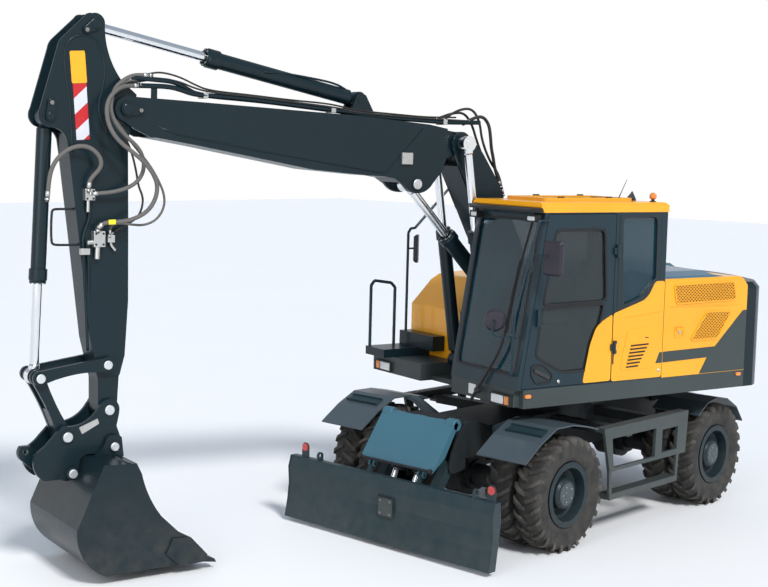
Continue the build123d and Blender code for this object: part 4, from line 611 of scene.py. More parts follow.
def make_finishes(colours):
    """All finishes, by name."""
    dark = tuple(colours.gear_paint)
    return {
        "dark": paint("Dark gear paint", dark, 0.36, 1.0, 0.15),
        # the blade takes the gear's blue-grey made lighter, as painted light on a face turned to
        # the light
        "blade": paint("Blade paint, lit", tuple(colours.blade_lit_paint), 0.42, 1.0, 0.1),
        "cover": paint("Blade cover paint", (0.044, 0.126, 0.172), 0.4, 1.0, 0.2, 0.3),
        "yellow": paint("Yellow body paint", tuple(colours.body_paint), 0.3, 1.2, 0.35, 0.4),
        "skirt": paint("Skirt paint", (0.044, 0.056, 0.056), 0.42, 1.5, 0.1),
        "hood": paint("Hood paint", (0.05, 0.135, 0.2), 0.3, 1.0, 0.3),
        "fender": paint("Fender paint", (0.048, 0.066, 0.078), 0.42, 1.0, 0.2, 0.35),
        "cab": paint("Cab frame paint", (0.012, 0.028, 0.038), 0.34, 1.0, 0.15),
        "black": plastic("Black trim", (0.012, 0.012, 0.013), 0.45),
        "frame": paint("Chassis paint", (0.012, 0.017, 0.02), 0.5, 1.4, 0.05),
        "rim": paint("Wheel paint", shade(dark, 1.3), 0.42, 1.1, 0.1),
        "hub": paint("Hub paint", (0.05, 0.074, 0.08), 0.4, 1.1, 0.1),
        "tyre": rubber("Tyre rubber", (0.012, 0.012, 0.012), 0.4),
        # The tread is lighter and greyer than the walls: partly wear and dust on the lugs, partly
        # painted sunlight on their faces
        "tread": rubber("Tread rubber, worn and sunlit", (0.022, 0.021, 0.02), 0.75),
        "chrome": chrome("Cylinder rod"),
        "bright": metal("Pin ends", (0.78, 0.8, 0.82), 0.5),
        "band": plastic("Yellow tape", (0.85, 0.62, 0.02), 0.4),
        "zinc": metal("Plated fittings", (0.62, 0.62, 0.6), 0.4),
        "steel": metal("Worn steel", (0.3, 0.29, 0.28), 0.55),
        "cast": paint("Engine casting", (0.03, 0.035, 0.04), 0.6, 1.4, 0.0),
        "plastic": plastic("Cab plastic", (0.03, 0.03, 0.033), 0.55),
        "cloth": cloth("Woven cloth", (0.016, 0.016, 0.018)),
        # The cab windows' blue-teal base colour is a painted reflection of the sky
        "glass": glazing("Cab glass", (0.006, 0.034, 0.05), 0.55),
        "door_glass": glazing("Door glass", (0.012, 0.02, 0.021), 0.74),
        "tinted": plastic("Roof light glass", (0.012, 0.02, 0.024), 0.12),
        "plate": plastic("Bare plate", (0.55, 0.56, 0.55), 0.4),
        "shell": plastic("Mirror shell", (0.02, 0.018, 0.026), 0.4),
        "mirror": metal("Mirror glass", (0.8, 0.82, 0.84), 0.18),
        "hose": rubber("Hydraulic hose", (0.012, 0.012, 0.012), 0.15),
        "sleeve": rubber("Hose sleeve", (0.1, 0.095, 0.09), 0.3),
        "amber": lens("Amber lens", (0.85, 0.25, 0.02)),
        "red": lens("Red lens", (0.55, 0.02, 0.015)),
        "clear": lens("Clear lens", (0.75, 0.77, 0.78)),
        "hazard": striped("Hazard stripes", (0.55, 0.56, 0.62), (0.45, 0.01, 0.014), 0.272, 0.965),
        "floor": floor_finish("Pale floor"),
    }


# Which finish each CAD node takes
NODE_FINISH = {
    "dark": (
        "lower_boom upper_boom arm guide_link link coupler bucket boom_barrels adjust_barrel "
        "arm_barrel bucket_barrel counterweight right_steps"
    ),
    "blade": "blade blade_arms blade_barrels",
    "cover": "blade_cover",
    "skirt": "upper_frame step_left step_right",
    "hood": "hood",
    "fender": "fenders",
    "cab": "cab_frame cab_door handrails",
    "yellow": "house_left house_right cab_roof",
    "black": "visor lamps",
    "shell": "mirrors",
    "frame": "chassis front_axle rear_axle knuckle_left knuckle_right steering_rod",
    "rim": "rims_front_left rims_front_right rims_rear_left rims_rear_right",
    "tyre": "tyres_front_left tyres_front_right tyres_rear_left tyres_rear_right",
    "chrome": "boom_rods adjust_rod arm_rod bucket_rod blade_rods",
    "cast": "engine",
    "plastic": "steering_column",
    "cloth": "seat",
    "glass": "cab_glass",
    "door_glass": "door_glass",
}


# Settings that a user would change
class EXCAVATOR_PG_colours(bpy.types.PropertyGroup):
    """Colours of the paints."""

    gear_paint: bpy.props.FloatVectorProperty(
        name="Gear paint",
        description="Dark blue-grey of the booms, arm and bucket",
        subtype="COLOR",
        default=(0.0045, 0.014, 0.019),
    )
    # The blade's blue-grey is lighter than the gear paint as painted light, since the blade faces
    # the light
    blade_lit_paint: bpy.props.FloatVectorProperty(
        name="Blade paint, lit",
        description="Blue-grey of the blade, which faces the light",
        subtype="COLOR",
        default=(0.016, 0.034, 0.042),
    )
    body_paint: bpy.props.FloatVectorProperty(
        name="Body paint",
        description="Yellow of the side panels and the roof",
        subtype="COLOR",
        default=(0.83, 0.36, 0.008),
    )


class EXCAVATOR_PG_stage(bpy.types.PropertyGroup):
    """Camera, floor and lights."""

    lens: bpy.props.FloatProperty(
        name="Lens", description="Focal length", subtype="DISTANCE_CAMERA", default=65.575
    )
    camera_at: bpy.props.FloatVectorProperty(
        name="Camera place", description="Where the camera stands", unit="LENGTH",
        default=(10.032, 8.44, 3.604),
    )
    yaw: bpy.props.FloatProperty(
        name="Yaw", description="Heading of the view", unit="ROTATION", default=radians(223.277)
    )
    pitch: bpy.props.FloatProperty(
        name="Pitch", description="Tilt of the view", unit="ROTATION", default=radians(-5.651)
    )
    roll: bpy.props.FloatProperty(
        name="Roll", description="Roll of the view", unit="ROTATION", default=radians(1.384)
    )
    sky: bpy.props.FloatProperty(
        name="Sky light", description="Strength of the even light", default=1.0
    )


# The even light by height: white round the horizon, paler blue towards the top
SKY_STOPS = [
    (0.0, (1.0, 1.0, 1.0)),
    (0.13, (1.0, 1.0, 1.0)),
    (0.26, (0.44, 0.48, 0.53)),
    (1.0, (0.34, 0.42, 0.54)),
]
# Lights: name, kind, place, aimed at, how its size is called, size, watts or strength
LIGHTS = [
    ("fill", "AREA", (11.0, 3.0, 5.0), (0.0, 0.0, 1.2), "size", 6.0, 300.0),
    ("key", "SUN", (3.0, 8.0, 9.5), (0.0, 0.0, 1.5), "angle", radians(12.0), 2.9),
]
FLOOR_HALF = 60.0
SENSOR, FAR = 36.0, 200.0
# The photo's middle lies off the lens axis
SHIFT_X, SHIFT_Y = 0.02892, -0.01034


class EXCAVATOR_OT_finishes(bpy.types.Operator):
    """Make the finishes and put them on the CAD nodes"""

    bl_idname = "excavator.finishes"
    bl_label = "Finishes"

    def execute(self, context):
        FINISH.update(make_finishes(context.scene.excavator_colours))
        for finish, names in NODE_FINISH.items():
            for name in names.split():
                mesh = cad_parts[name].data
                mesh.materials.clear()
                mesh.materials.append(FINISH[finish])
        return {"FINISHED"}


def stand(name, data, right, up, back, place):
    """Put a light or camera in the scene, from its three directions and its place."""
    thing = bpy.data.objects.new(name, data)
    bpy.context.scene.collection.objects.link(thing)
    rows = np.stack([right, up, back, place], -1)
    thing.matrix_world = Matrix([*rows.tolist(), (0.0, 0.0, 0.0, 1.0)])
    return thing


class EXCAVATOR_OT_stage(bpy.types.Operator):
    """Pale floor, soft lights and the camera"""

    bl_idname = "excavator.stage"
    bl_label = "Stage"

    def execute(self, context):
        stage = context.scene.excavator_stage
        corners = FLOOR_HALF * np.array([(-1, -1, 0), (1, -1, 0), (1, 1, 0), (-1, 1, 0)])
        floor = put("floor", (corners, [[0, 1, 2, 3]]), "floor", None)
        world = bpy.data.worlds.new("Studio")
        sky = Shader("Studio", world)
        looking = sky.node("ShaderNodeTexCoord")["Generated"]
        height = sky.node("ShaderNodeSeparateXYZ", None, looking)["Z"]
        shades = sky.node("ShaderNodeValToRGB", {"stops": SKY_STOPS}, height)["Color"]
        sky.feed(sky.base.inputs["Color"], shades)
        sky.feed(sky.base.inputs["Strength"], stage.sky)
        context.scene.world = world
        context.scene.view_settings.view_transform = "Standard"
        for name, kind, place, target, spread, size, power in LIGHTS:
            light = bpy.data.lights.new(name, kind)
            light.energy = power
            setattr(light, spread, size)
            away = unit(np.subtract(place, target))
            right = unit(np.cross(Z, away))
            stand(name, light, right, np.cross(away, right), away, place)
        camera = bpy.data.cameras.new("camera")
        camera.sensor_width, camera.lens, camera.clip_end = SENSOR, stage.lens, FAR
        camera.shift_x, camera.shift_y = SHIFT_X, SHIFT_Y
        level_part = cos(stage.pitch)
        fwd = np.array(
            [level_part * cos(stage.yaw), level_part * sin(stage.yaw), sin(stage.pitch)]
        )
        right = unit(np.cross(fwd, Z))
        up = np.cross(right, fwd)
        c, s = cos(stage.roll), sin(stage.roll)
        turned = (c * right + s * up, c * up - s * right, -fwd)
        context.scene.camera = stand("camera", camera, *turned, tuple(stage.camera_at))
        return {"FINISHED"}


# Wheels: the axle's place forward, and the side
WHEELS = {
    "front_left": (WHEEL_X, 1),
    "front_right": (WHEEL_X, -1),
    "rear_left": (-WHEEL_X, 1),
    "rear_right": (-WHEEL_X, -1),
}
LUGS, LEAN = 25, 0.17
# One half of the carcass: radius and place along the axle
CARCASS = [
    (0.3, 0.1), (0.318, 0.109), (0.345, 0.122), (0.385, 0.133), (0.425, 0.134),
    (0.462, 0.129), (0.487, 0.116), (0.5, 0.09), (0.505, 0.045), (0.506, 0.0),
]
# Stations of a lug: share along, place along the axle, inner and outer radius, half width
LUG_STATIONS = [
    (0.0, 0.004, 0.5, 0.523, 0.019),
    (0.28, 0.04, 0.498, 0.526, 0.02),
    (0.55, 0.08, 0.492, 0.527, 0.023),
    (0.82, 0.116, 0.476, 0.522, 0.025),
    (0.94, 0.1345, 0.45, 0.502, 0.025),
    (1.0, 0.1355, 0.432, 0.468, 0.018),
]
# Corners of its section: share of the half width, and 0 at the inner or 1 at the outer radius
LUG_CORNERS = [(-1.0, 0), (-0.78, 1), (0.78, 1), (1.0, 0)]


def tyre_mesh(axle_x, side_y, middle_y):
    """Carcass: a profile turned about the axle. Lugs: each is a bar whose section is
    carried from the tread's middle out over the shoulder; a station at share v has the
    angle base + lean * (0.35 v + 0.65 v^2), the place y(v) and the radii r0(v), r1(v)."""
    place = placed(on_ground, (axle_x, middle_y, WHEEL_Z), X, Z, (0.0, side_y, 0.0))
    carcass = lathe(CARCASS + [(r, -y) for r, y in CARCASS[-2::-1]], place, 72, True)
    v, y, r0, r1, wide = np.array(LUG_STATIONS).T[:, :, None]
    across, outer = np.array(LUG_CORNERS).T
    radius = r0 + (r1 - r0) * outer
    bend = side_y * LEAN * (0.35 * v + 0.65 * v * v) + across * wide / radius
    y = y - 0.012 * (outer == 0) * (v > 0.9)
    parts = []
    for row, shift in ((1, 0.0), (-1, 0.5)):
        for base in (np.arange(LUGS) + shift) * 2 * pi / LUGS:
            a = base + bend
            lug = stacked(radius * np.cos(a), radius * np.sin(a), row * y)
            verts, faces = rings(place(lug))
            parts.append((verts, [f[::-1] for f in faces] if row * side_y < 0 else faces))
    return carcass, join(parts)


class EXCAVATOR_OT_wheels(bpy.types.Operator):
    """Tyres: smooth walls and their lugged treads"""

    bl_idname = "excavator.wheels"
    bl_label = "Wheels"

    def execute(self, context):
        for name, (axle_x, side_y) in WHEELS.items():
            shells, lugs = zip(*(tyre_mesh(axle_x, side_y, side_y * y) for y in TWINS))
            walls = put(f"tyre_{name}", list(shells), "tyre", f"wheels_{name}", smooth=True)
            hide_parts(f"tyres_{name}")
            tread = put(f"tread_{name}", list(lugs), "tread", f"wheels_{name}")
        return {"FINISHED"}


# Left side, outlines read off the photograph, forward and height in metres
DOOR_YELLOW = [
    (0.638, 1.482), (0.56, 1.84), (0.498, 1.985), (0.44, 2.04), (0.2925, 2.112), (0.2925, 1.482),
]
SIDE_YELLOW = [
    (0.2815, 1.474), (0.2815, 2.116), (0.06, 2.18), (-0.1, 2.226), (-0.165, 2.275),
    (-0.243, 2.403), (-0.366, 2.403), (-0.366, 1.474),
]
HATCH = [(0.1, 1.952), (-0.233, 1.984), (-0.256, 1.572), (0.186, 1.57)]
UPPER_GRILLE = [(-0.5, 2.35), (-1.317, 2.362), (-1.352, 2.19), (-0.539, 2.175)]
LOWER_GRILLE = [(-0.956, 2.07), (-1.295, 2.066), (-1.115, 1.812), (-0.753, 1.81)]
DARK_FLASH = [
    (-0.381, 1.716), (-1.092, 1.729), (-1.468, 2.072), (-1.521, 2.076), (-1.521, 1.47),
    (-0.885, 1.47), (-0.987, 1.626), (-0.381, 1.612),
]
DARK_FLASH_FRONT = [(-0.328, 1.715), (-0.366, 1.7158), (-0.366, 1.6125), (-0.281, 1.611)]
# Sheets: name, outline, corner, low and high outwards, finish, body, rounded edge
SHEETS = [
    ("door_panel", DOOR_YELLOW, 0.03, SUNK, SKIN, "yellow", "cab_door", 0.004),
    ("cab_side_panel", SIDE_YELLOW, 0.03, SUNK, SKIN, "yellow", "upper", 0.004),
    ("dark_flash", DARK_FLASH, 0.01, SUNK, 0.003, "skirt", "upper", 0.0),
    ("dark_flash_front", DARK_FLASH_FRONT, 0.0, 0.002, SKIN + 0.0012, "skirt", "upper", 0.0),
    ("hatch", HATCH, 0.04, 0.002, SKIN + 0.005, "yellow", "upper", 0.003),
]
LOUVRES = 7
GRILLE_PITCH, GRILLE_BAR, GRILLE_SLOPE = 0.026, 0.0085, radians(38)


class EXCAVATOR_OT_side_panels(bpy.types.Operator):
    """Yellow panels, dark flash, hatch and grilles on the left side"""

    bl_idname = "excavator.side_panels"
    bl_label = "Side panels"

    def execute(self, context):
        for name, outline, corner, low, high, finish, body, edge in SHEETS:
            line = rounded(outline, corner) if corner else outline
            put(name, prism(line, low, high, on_side), finish, body, edge)
        # louvres of the hatch: black slots under slanting slats, painted shade in the openings
        # between them
        slots, slats = [], []
        for k in range(LOUVRES):
            a = np.array([0.104 - 0.0085 * k, 1.6 + 0.0335 * k])
            b = np.array([-0.052 - 0.021 * k, 1.606 + 0.0335 * k])
            slots.append(slat(a, b, 0.018, 0.004, SKIN + 0.0065, on_side))
            a, b = a + (0.0, 0.013), b + (0.0, 0.013)
            slats.append(slat(a, b, 0.012, 0.004, SKIN + 0.013, on_side))
        put("louvre_slots", slots, "black", "upper")
        put("louvre_slats", slats, "yellow", "upper", 0.002)
        # grilles: a black recess that is painted shade behind the openings, crossing bars, raised
        # rim
        for name, outline in (("upper_grille", UPPER_GRILLE), ("lower_grille", LOWER_GRILLE)):
            ring = rounded(outline, 0.03, 5)
            hole = shrunk(ring, 0.004)
            put(f"{name}_recess", prism(hole, -0.004, 0.0015, on_side), "black", "upper")
            mesh = (GRILLE_PITCH, GRILLE_BAR, GRILLE_SLOPE)
            put(f"{name}_bars", lattice(hole, *mesh, 0.001, 0.0075, on_side), "yellow", "upper")
            rim = frame_band(shrunk(ring, -0.012), hole, SUNK, 0.012, on_side)
            put(f"{name}_rim", rim, "yellow", "upper", 0.004)
        return {"FINISHED"}


# Working gear: pieces on the booms, the arm and the bucket, as (forward, height, sideways)
def gear_tube(points, radius, steps=8, sides=12):
    """A hose or pipe on a smooth line through the gear's own coordinates."""
    return tube(smooth_path(points, steps), radius, in_gear, sides)


# A hose end: share of its length, and of the hose's radius; then its length
FITTING = [
    (0.0, 0.75), (0.16, 0.75), (0.18, 1.25), (0.34, 1.25), (0.36, 0.9),
    (0.5, 0.9), (0.52, 1.18), (0.98, 1.18), (1.0, 1.0),
]
FITTING_RADII, FITTING_REST = 3.2, 0.03


def fitting(points, way, radius):
    """A crimped hose end: an eight-sided tube on the line's first stretch, or with the way
    -1 on its last, with two collars."""
    path = smooth_path(points)[::way]
    run = np.concatenate([[0], np.cumsum(np.linalg.norm(np.diff(path, axis=0), axis=1))])
    shares, sizes = np.array(FITTING).T
    places = shares * (FITTING_RADII * radius + FITTING_REST)
    line = np.stack([np.interp(places, run, path[:, k]) for k in range(3)], -1)
    return tube(line, sizes * radius, in_gear, 8)


# Pins: forward, height, the pin's half length, its radius, and the body that holds it
BRIGHT_PINS = [
    ((4.822, 1.757, 0.173), 0.036, "arm"),
    ((5.4, 1.682, 0.175), 0.036, "guide_link"),
    ((4.798, 1.374, 0.153), 0.04, "bucket"),
    ((5.164, 1.178, 0.158), 0.04, "bucket"),
    ((4.768, 1.07, 0.197), 0.035, "bucket"),
    ((5.132, 0.878, 0.197), 0.035, "bucket"),
    ((1.745, 3.27, 0.182), 0.046, "upper_boom"),
]
KEPT_PINS = [
    # pin, boss radius, keeper's bolt beside it, body
    ((4.932, 4.54, 0.134), 0.046, (0.078, -0.05), "arm"),
    ((5.31, 3.79, 0.134), 0.042, (-0.006, 0.108), "arm"),
    ((4.67, 3.868, 0.184), 0.058, (-0.112, -0.008), "upper_boom"),
]
ARM_FACE = 0.122
COUPLER_PLATE = [(5.064, 1.248), (4.901, 1.311), (4.888, 1.267), (5.037, 1.191)]
# The raised rib round the arm's head, one side
HEAD_RIB = [
    (5.128, 3.64), (5.144, 3.909), (5.162, 4.022), (5.188, 4.183), (5.195, 4.287), (5.176, 4.369),
    (5.121, 4.427), (5.034, 4.452), (4.952, 4.437), (4.899, 4.385), (4.863, 4.289), (4.848, 4.2),
    (4.849, 4.118), (4.864, 4.018), (4.896, 3.918), (4.898, 3.836), (4.873, 3.762), (4.837, 3.697),
]
ARM_PLATE = [(5.15, 4.314), (5.021, 4.323), (5.0, 4.066), (5.129, 4.057)]
ARM_STRIPES = [(5.121, 4.055), (5.006, 4.063), (4.975, 3.614), (5.087, 3.605)]
BOOM_SEAM = [(4.455, 3.755), (4.22, 3.672), (3.5, 3.56), (2.155, 3.372), (2.1, 3.38), (1.69, 3.79)]
# Hoses: name, finish, radius, points (forward, height, sideways), bodies at both ends
HOSES = [
    ("arm_hose_low", "sleeve", 0.018, [
        (4.59, 4.062, 0.172), (4.702, 4.053, 0.195), (4.773, 4.028, 0.22), (4.856, 3.959, 0.25),
        (4.899, 3.867, 0.28), (4.896, 3.749, 0.31), (4.851, 3.651, 0.33), (4.785, 3.581, 0.34),
        (4.687, 3.512, 0.35), (4.593, 3.44, 0.35), (4.513, 3.347, 0.35), (4.467, 3.245, 0.34),
        (4.486, 3.127, 0.33), (4.548, 3.031, 0.31), (4.656, 2.972, 0.29), (4.761, 2.949, 0.26),
        (4.835, 2.945, 0.23), (4.883, 2.937, 0.21), (4.924, 2.908, 0.195), (4.927, 2.873, 0.185),
    ], "upper_boom", "arm"),
    ("arm_hose_high", "sleeve", 0.017, [
        (4.5, 4.15, 0.166), (4.61, 4.149, 0.168), (4.704, 4.107, 0.176), (4.787, 4.036, 0.19),
        (4.833, 3.95, 0.23), (4.851, 3.853, 0.25), (4.822, 3.759, 0.27), (4.779, 3.696, 0.28),
        (4.706, 3.625, 0.29), (4.635, 3.569, 0.29), (4.582, 3.49, 0.29), (4.565, 3.403, 0.28),
        (4.575, 3.329, 0.26), (4.622, 3.262, 0.24), (4.707, 3.214, 0.22), (4.816, 3.187, 0.2),
        (4.945, 3.177, 0.18),
    ], "upper_boom", "arm"),
    ("arm_hose_thin", "hose", 0.009, [
        (4.56, 4.11, 0.156), (4.74, 4.06, 0.17), (4.815, 3.95, 0.2), (4.83, 3.85, 0.215),
        (4.797, 3.766, 0.22), (4.74, 3.687, 0.23), (4.659, 3.535, 0.23), (4.614, 3.372, 0.23),
        (4.593, 3.241, 0.23), (4.548, 3.158, 0.22), (4.543, 3.085, 0.21), (4.565, 2.996, 0.19),
        (4.624, 2.94, 0.17), (4.76, 2.87, 0.15), (4.8, 2.835, 0.15),
    ], "upper_boom", "arm"),
    ("arm_hose_outer", "sleeve", 0.01, [
        (4.53, 4.12, 0.158), (4.72, 4.09, 0.178), (4.83, 3.96, 0.21), (4.84, 3.83, 0.215),
        (4.753, 3.727, 0.22), (4.638, 3.568, 0.24), (4.499, 3.415, 0.25), (4.411, 3.271, 0.25),
        (4.37, 3.176, 0.25), (4.359, 3.086, 0.24), (4.39, 3.004, 0.23), (4.45, 2.944, 0.22),
        (4.541, 2.914, 0.21), (4.637, 2.922, 0.19), (4.743, 2.934, 0.18), (4.8, 2.925, 0.18),
        (4.815, 2.88, 0.175), (4.815, 2.836, 0.17),
    ], "upper_boom", "arm"),
    ("bucket_hose", "sleeve", 0.018, [
        (5.315, 3.17, 0.085), (5.311, 3.297, 0.11), (5.299, 3.376, 0.13), (5.265, 3.455, 0.16),
        (5.203, 3.52, 0.19), (5.128, 3.555, 0.21), (5.049, 3.56, 0.22), (4.984, 3.532, 0.23),
        (4.931, 3.476, 0.23), (4.915, 3.418, 0.23), (4.934, 3.368, 0.22), (4.973, 3.324, 0.205),
        (5.001, 3.28, 0.19), (5.007, 3.214, 0.18),
    ], "bucket_barrel", "arm"),
    ("boom_end_hose", "hose", 0.016, [
        (1.15, 3.866, 0.12), (1.06, 3.91, 0.125), (0.958, 3.928, 0.125), (0.88, 3.86, 0.12),
        (0.85, 3.76, 0.115), (0.829, 3.621, 0.11), (0.79, 3.52, 0.1), (0.767, 3.44, 0.09),
        (0.7, 3.3, 0.08),
    ], "upper_boom", "lower_boom"),
    ("boom_end_hose_mid", "hose", 0.012, [
        (1.371, 3.9, 0.08), (1.214, 3.984, 0.08), (1.053, 4.002, 0.08), (0.95, 3.877, 0.07),
        (0.91, 3.697, 0.06), (0.802, 3.491, 0.06), (0.69, 3.38, 0.06), (0.64, 3.23, 0.06),
    ], "upper_boom", "lower_boom"),
    ("boom_end_hose_inner", "hose", 0.012, [
        (1.4, 3.9, 0.02), (1.24, 3.95, 0.01), (1.09, 3.96, 0.0), (0.99, 3.85, 0.0),
        (0.93, 3.7, 0.0), (0.84, 3.52, 0.0), (0.74, 3.39, 0.0), (0.68, 3.26, 0.0),
    ], "upper_boom", "lower_boom"),
]
PIPES = [
    # name, finish, radius, points, body
    ("boom_pipe_outer", "dark", 0.021, [
        (4.62, 4.062, 0.168), (4.418, 4.066, 0.164), (4.297, 4.066, 0.16), (4.198, 4.05, 0.156),
        (4.048, 4.009, 0.14), (3.796, 4.007, 0.13), (3.404, 3.988, 0.13), (2.859, 3.945, 0.13),
        (2.634, 3.928, 0.13), (2.491, 3.918, 0.13), (2.286, 3.89, 0.13), (1.989, 3.876, 0.13),
        (1.685, 3.867, 0.13), (1.404, 3.855, 0.13), (1.13, 3.862, 0.125),
    ], "upper_boom"),
    ("boom_pipe_inner", "dark", 0.021, [
        (4.56, 4.125, 0.168), (4.418, 4.118, 0.164), (4.25, 4.112, 0.156), (4.12, 4.06, 0.13),
        (3.98, 4.009, 0.065), (3.404, 3.988, 0.065), (2.859, 3.945, 0.065), (2.634, 3.928, 0.065),
        (2.42, 3.91, 0.05), (1.989, 3.876, 0.05), (1.404, 3.87, 0.05), (1.36, 3.88, 0.055),
    ], "upper_boom"),
    ("boom_line_a", "hose", 0.008, [
        (4.493, 4.16, 0.166), (4.373, 4.185, 0.158), (4.201, 4.155, 0.152), (4.05, 4.095, 0.142),
        (3.898, 4.052, 0.1), (3.483, 4.03, 0.1), (3.107, 4.003, 0.1), (2.661, 3.985, 0.1),
        (2.401, 3.935, 0.09), (1.957, 3.915, 0.09), (1.62, 3.9, 0.08), (1.371, 3.905, 0.08),
    ], "upper_boom"),
    ("boom_line_b", "hose", 0.008, [
        (4.54, 4.1, 0.16), (4.38, 4.13, 0.158), (4.201, 4.115, 0.156), (4.05, 4.062, 0.152),
        (3.898, 4.035, 0.152), (3.483, 4.015, 0.152), (3.107, 3.985, 0.152), (2.661, 3.955, 0.152),
        (2.401, 3.915, 0.15), (1.957, 3.895, 0.15), (1.62, 3.885, 0.15), (1.3, 3.88, 0.145),
    ], "upper_boom"),
    ("arm_pipe", "dark", 0.013, [
        (4.985, 3.09, 0.145), (4.975, 2.985, 0.14), (5.01, 2.9, 0.138), (5.038, 2.82, 0.138),
        (5.03, 2.7, 0.136), (5.016, 2.45, 0.122), (5.0, 2.3, 0.112), (4.985, 2.02, 0.107),
    ], "arm"),
    ("arm_pipe_low", "dark", 0.013, [
        (5.0, 2.74, 0.145), (4.985, 2.64, 0.14), (4.978, 2.43, 0.12), (4.965, 2.28, 0.111),
        (4.95, 2.05, 0.107),
    ], "arm"),
    ("arm_hand_bar", "black", 0.01, [
        (5.08, 3.045, 0.06), (5.232, 3.046, 0.06), (5.266, 3.04, 0.06), (5.273, 3.0, 0.06),
        (5.277, 2.9, 0.06), (5.275, 2.8, 0.06), (5.268, 2.762, 0.06), (5.232, 2.753, 0.06),
        (5.06, 2.752, 0.06),
    ], "arm"),
    ("arm_cylinder_pipe", "dark", 0.01, [
        (3.31, 4.235, 0.072), (3.26, 4.235, 0.07), (3.15, 4.24, 0.05), (2.7, 4.19, 0.05),
        (2.56, 4.16, 0.04), (2.5, 4.134, 0.034),
    ], "arm_barrel"),
]
# Small blocks: name, finish, middle, width and height, inner side place, depth, body
BLOCKS = [
    ("manifold_low", "zinc", (4.909, 2.805), (0.1, 0.13), 0.122, 0.066, "arm"),
    ("manifold_low_side", "zinc", (4.8, 2.805), (0.062, 0.062), 0.122, 0.05, "arm"),
    ("manifold_high", "zinc", (4.992, 3.167), (0.084, 0.092), 0.122, 0.066, "arm"),
    ("pipe_clamp_arm", "zinc", (5.02, 2.702), (0.082, 0.052), 0.122, 0.036, "arm"),
    ("pipe_clamp_a", "zinc", (3.945, 4.008), (0.046, 0.052), 0.045, 0.112, "upper_boom"),
    ("pipe_clamp_b", "zinc", (2.668, 3.93), (0.046, 0.052), 0.045, 0.112, "upper_boom"),
    ("pipe_clamp_c", "zinc", (1.422, 3.86), (0.046, 0.056), 0.03, 0.127, "upper_boom"),
    ("pipe_post", "dark", (4.425, 4.01), (0.05, 0.14), 0.142, 0.026, "upper_boom"),
    ("boom_side_box", "zinc", (1.876, 3.508), (0.12, 0.11), 0.17, 0.03, "upper_boom"),
]
# Bolted manifolds: middle, width and height; and how far out their faces lie
MANIFOLDS = [(4.909, 2.805, 0.1, 0.13), (4.992, 3.167, 0.084, 0.092)]
MANIFOLD_FACE = 0.187
# Stubs on the manifolds: radius and points
STUBS = [
    (0.022, [(4.915, 2.745, 0.155), (4.917, 2.7, 0.155), (4.919, 2.66, 0.155)]),
    (0.02, [(4.955, 2.78, 0.155), (4.975, 2.778, 0.155), (4.995, 2.776, 0.155)]),
    (0.014, [(4.998, 3.125, 0.155), (5.0, 3.085, 0.155), (5.0, 3.045, 0.155)]),
    (0.012, [(4.8, 2.78, 0.15), (4.795, 2.75, 0.15), (4.77, 2.722, 0.15)]),
]
HOSE_BAND = [(4.805, 2.947, 0.243), (4.822, 2.946, 0.236), (4.84, 2.945, 0.229)]


class EXCAVATOR_OT_pins(bpy.types.Operator):
    """Bright pin ends, painted collars and keeper bars of the gear's pins"""

    bl_idname = "excavator.pins"
    bl_label = "Pins"

    def execute(self, context):
        caps, collars = {}, {}
        for pin, radius, body in BRIGHT_PINS:
            r = radius + 0.002
            cap = [(r, -0.006), (r, 0.005), (r - 0.005, 0.009)]
            ring = [(r + 0.016, -0.024), (r + 0.016, -0.01), (r + 0.001, -0.007)]
            for side in SIDES:
                caps.setdefault(body, []).append(lathe(cap, around(pin, side), 28))
                collars.setdefault(body, []).append(lathe(ring, around(pin, side), 28))
        for body, parts in caps.items():
            put(f"pin_ends_{body}", parts, "bright", body)
            put(f"pin_collars_{body}", collars[body], "dark", body)
        for k, (pin, radius, bolt, body) in enumerate(KEPT_PINS):
            boss = [(radius * 0.8, 0.01), (radius * 0.8, 0.018), (radius * 0.7, 0.021)]
            parts, bolts = [], []
            for side in SIDES:
                place = around(pin, side)
                parts.append(prism(capsule((0, 0), radius, bolt, 0.03), 0.0, 0.012, place))
                parts.append(lathe(boss, place))
                bolts.append(bolt_ring(shifted(place, *bolt, 0.012), 0.019, 0.014))
            put(f"pin_keepers_{k}", parts, "dark", body, 0.003)
            put(f"keeper_bolts_{k}", bolts, "steel", body)
        return {"FINISHED"}


class EXCAVATOR_OT_arm_trim(bpy.types.Operator):
    """Raised rib, bare yellow plate and hazard stripes on the arm, seams on the boom"""

    bl_idname = "excavator.arm_trim"
    bl_label = "Arm trim"

    def execute(self, context):
        def both(outline, sideways):
            """The outline as a line on each side of the gear."""
            return [[(x, z, side * sideways) for x, z in outline] for side in SIDES]

        ribs = [gear_tube(line, 0.01, 4, 10) for line in both(HEAD_RIB, ARM_FACE - 0.002)]
        put("arm_head_rib", ribs, "dark", "arm", smooth=True)
        plate = rounded(ARM_PLATE, 0.014)
        for name, outline, finish in (
            ("arm_plate", plate, "yellow"), ("arm_stripes", ARM_STRIPES, "hazard")
        ):
            low, high = ARM_FACE - 0.001, ARM_FACE + 0.002
            sheets = [prism(outline, side * low, side * high, in_gear) for side in SIDES]
            put(name, sheets, finish, "arm")
        bare = prism(rounded(COUPLER_PLATE, 0.006), 0.1405, 0.1435, in_gear)
        put("coupler_plate", bare, "zinc", "bucket")
        seams = [tube(line, 0.006, in_gear, 6) for line in both(BOOM_SEAM, 0.17)]
        put("boom_seams", seams, "dark", "upper_boom", smooth=True)
        return {"FINISHED"}


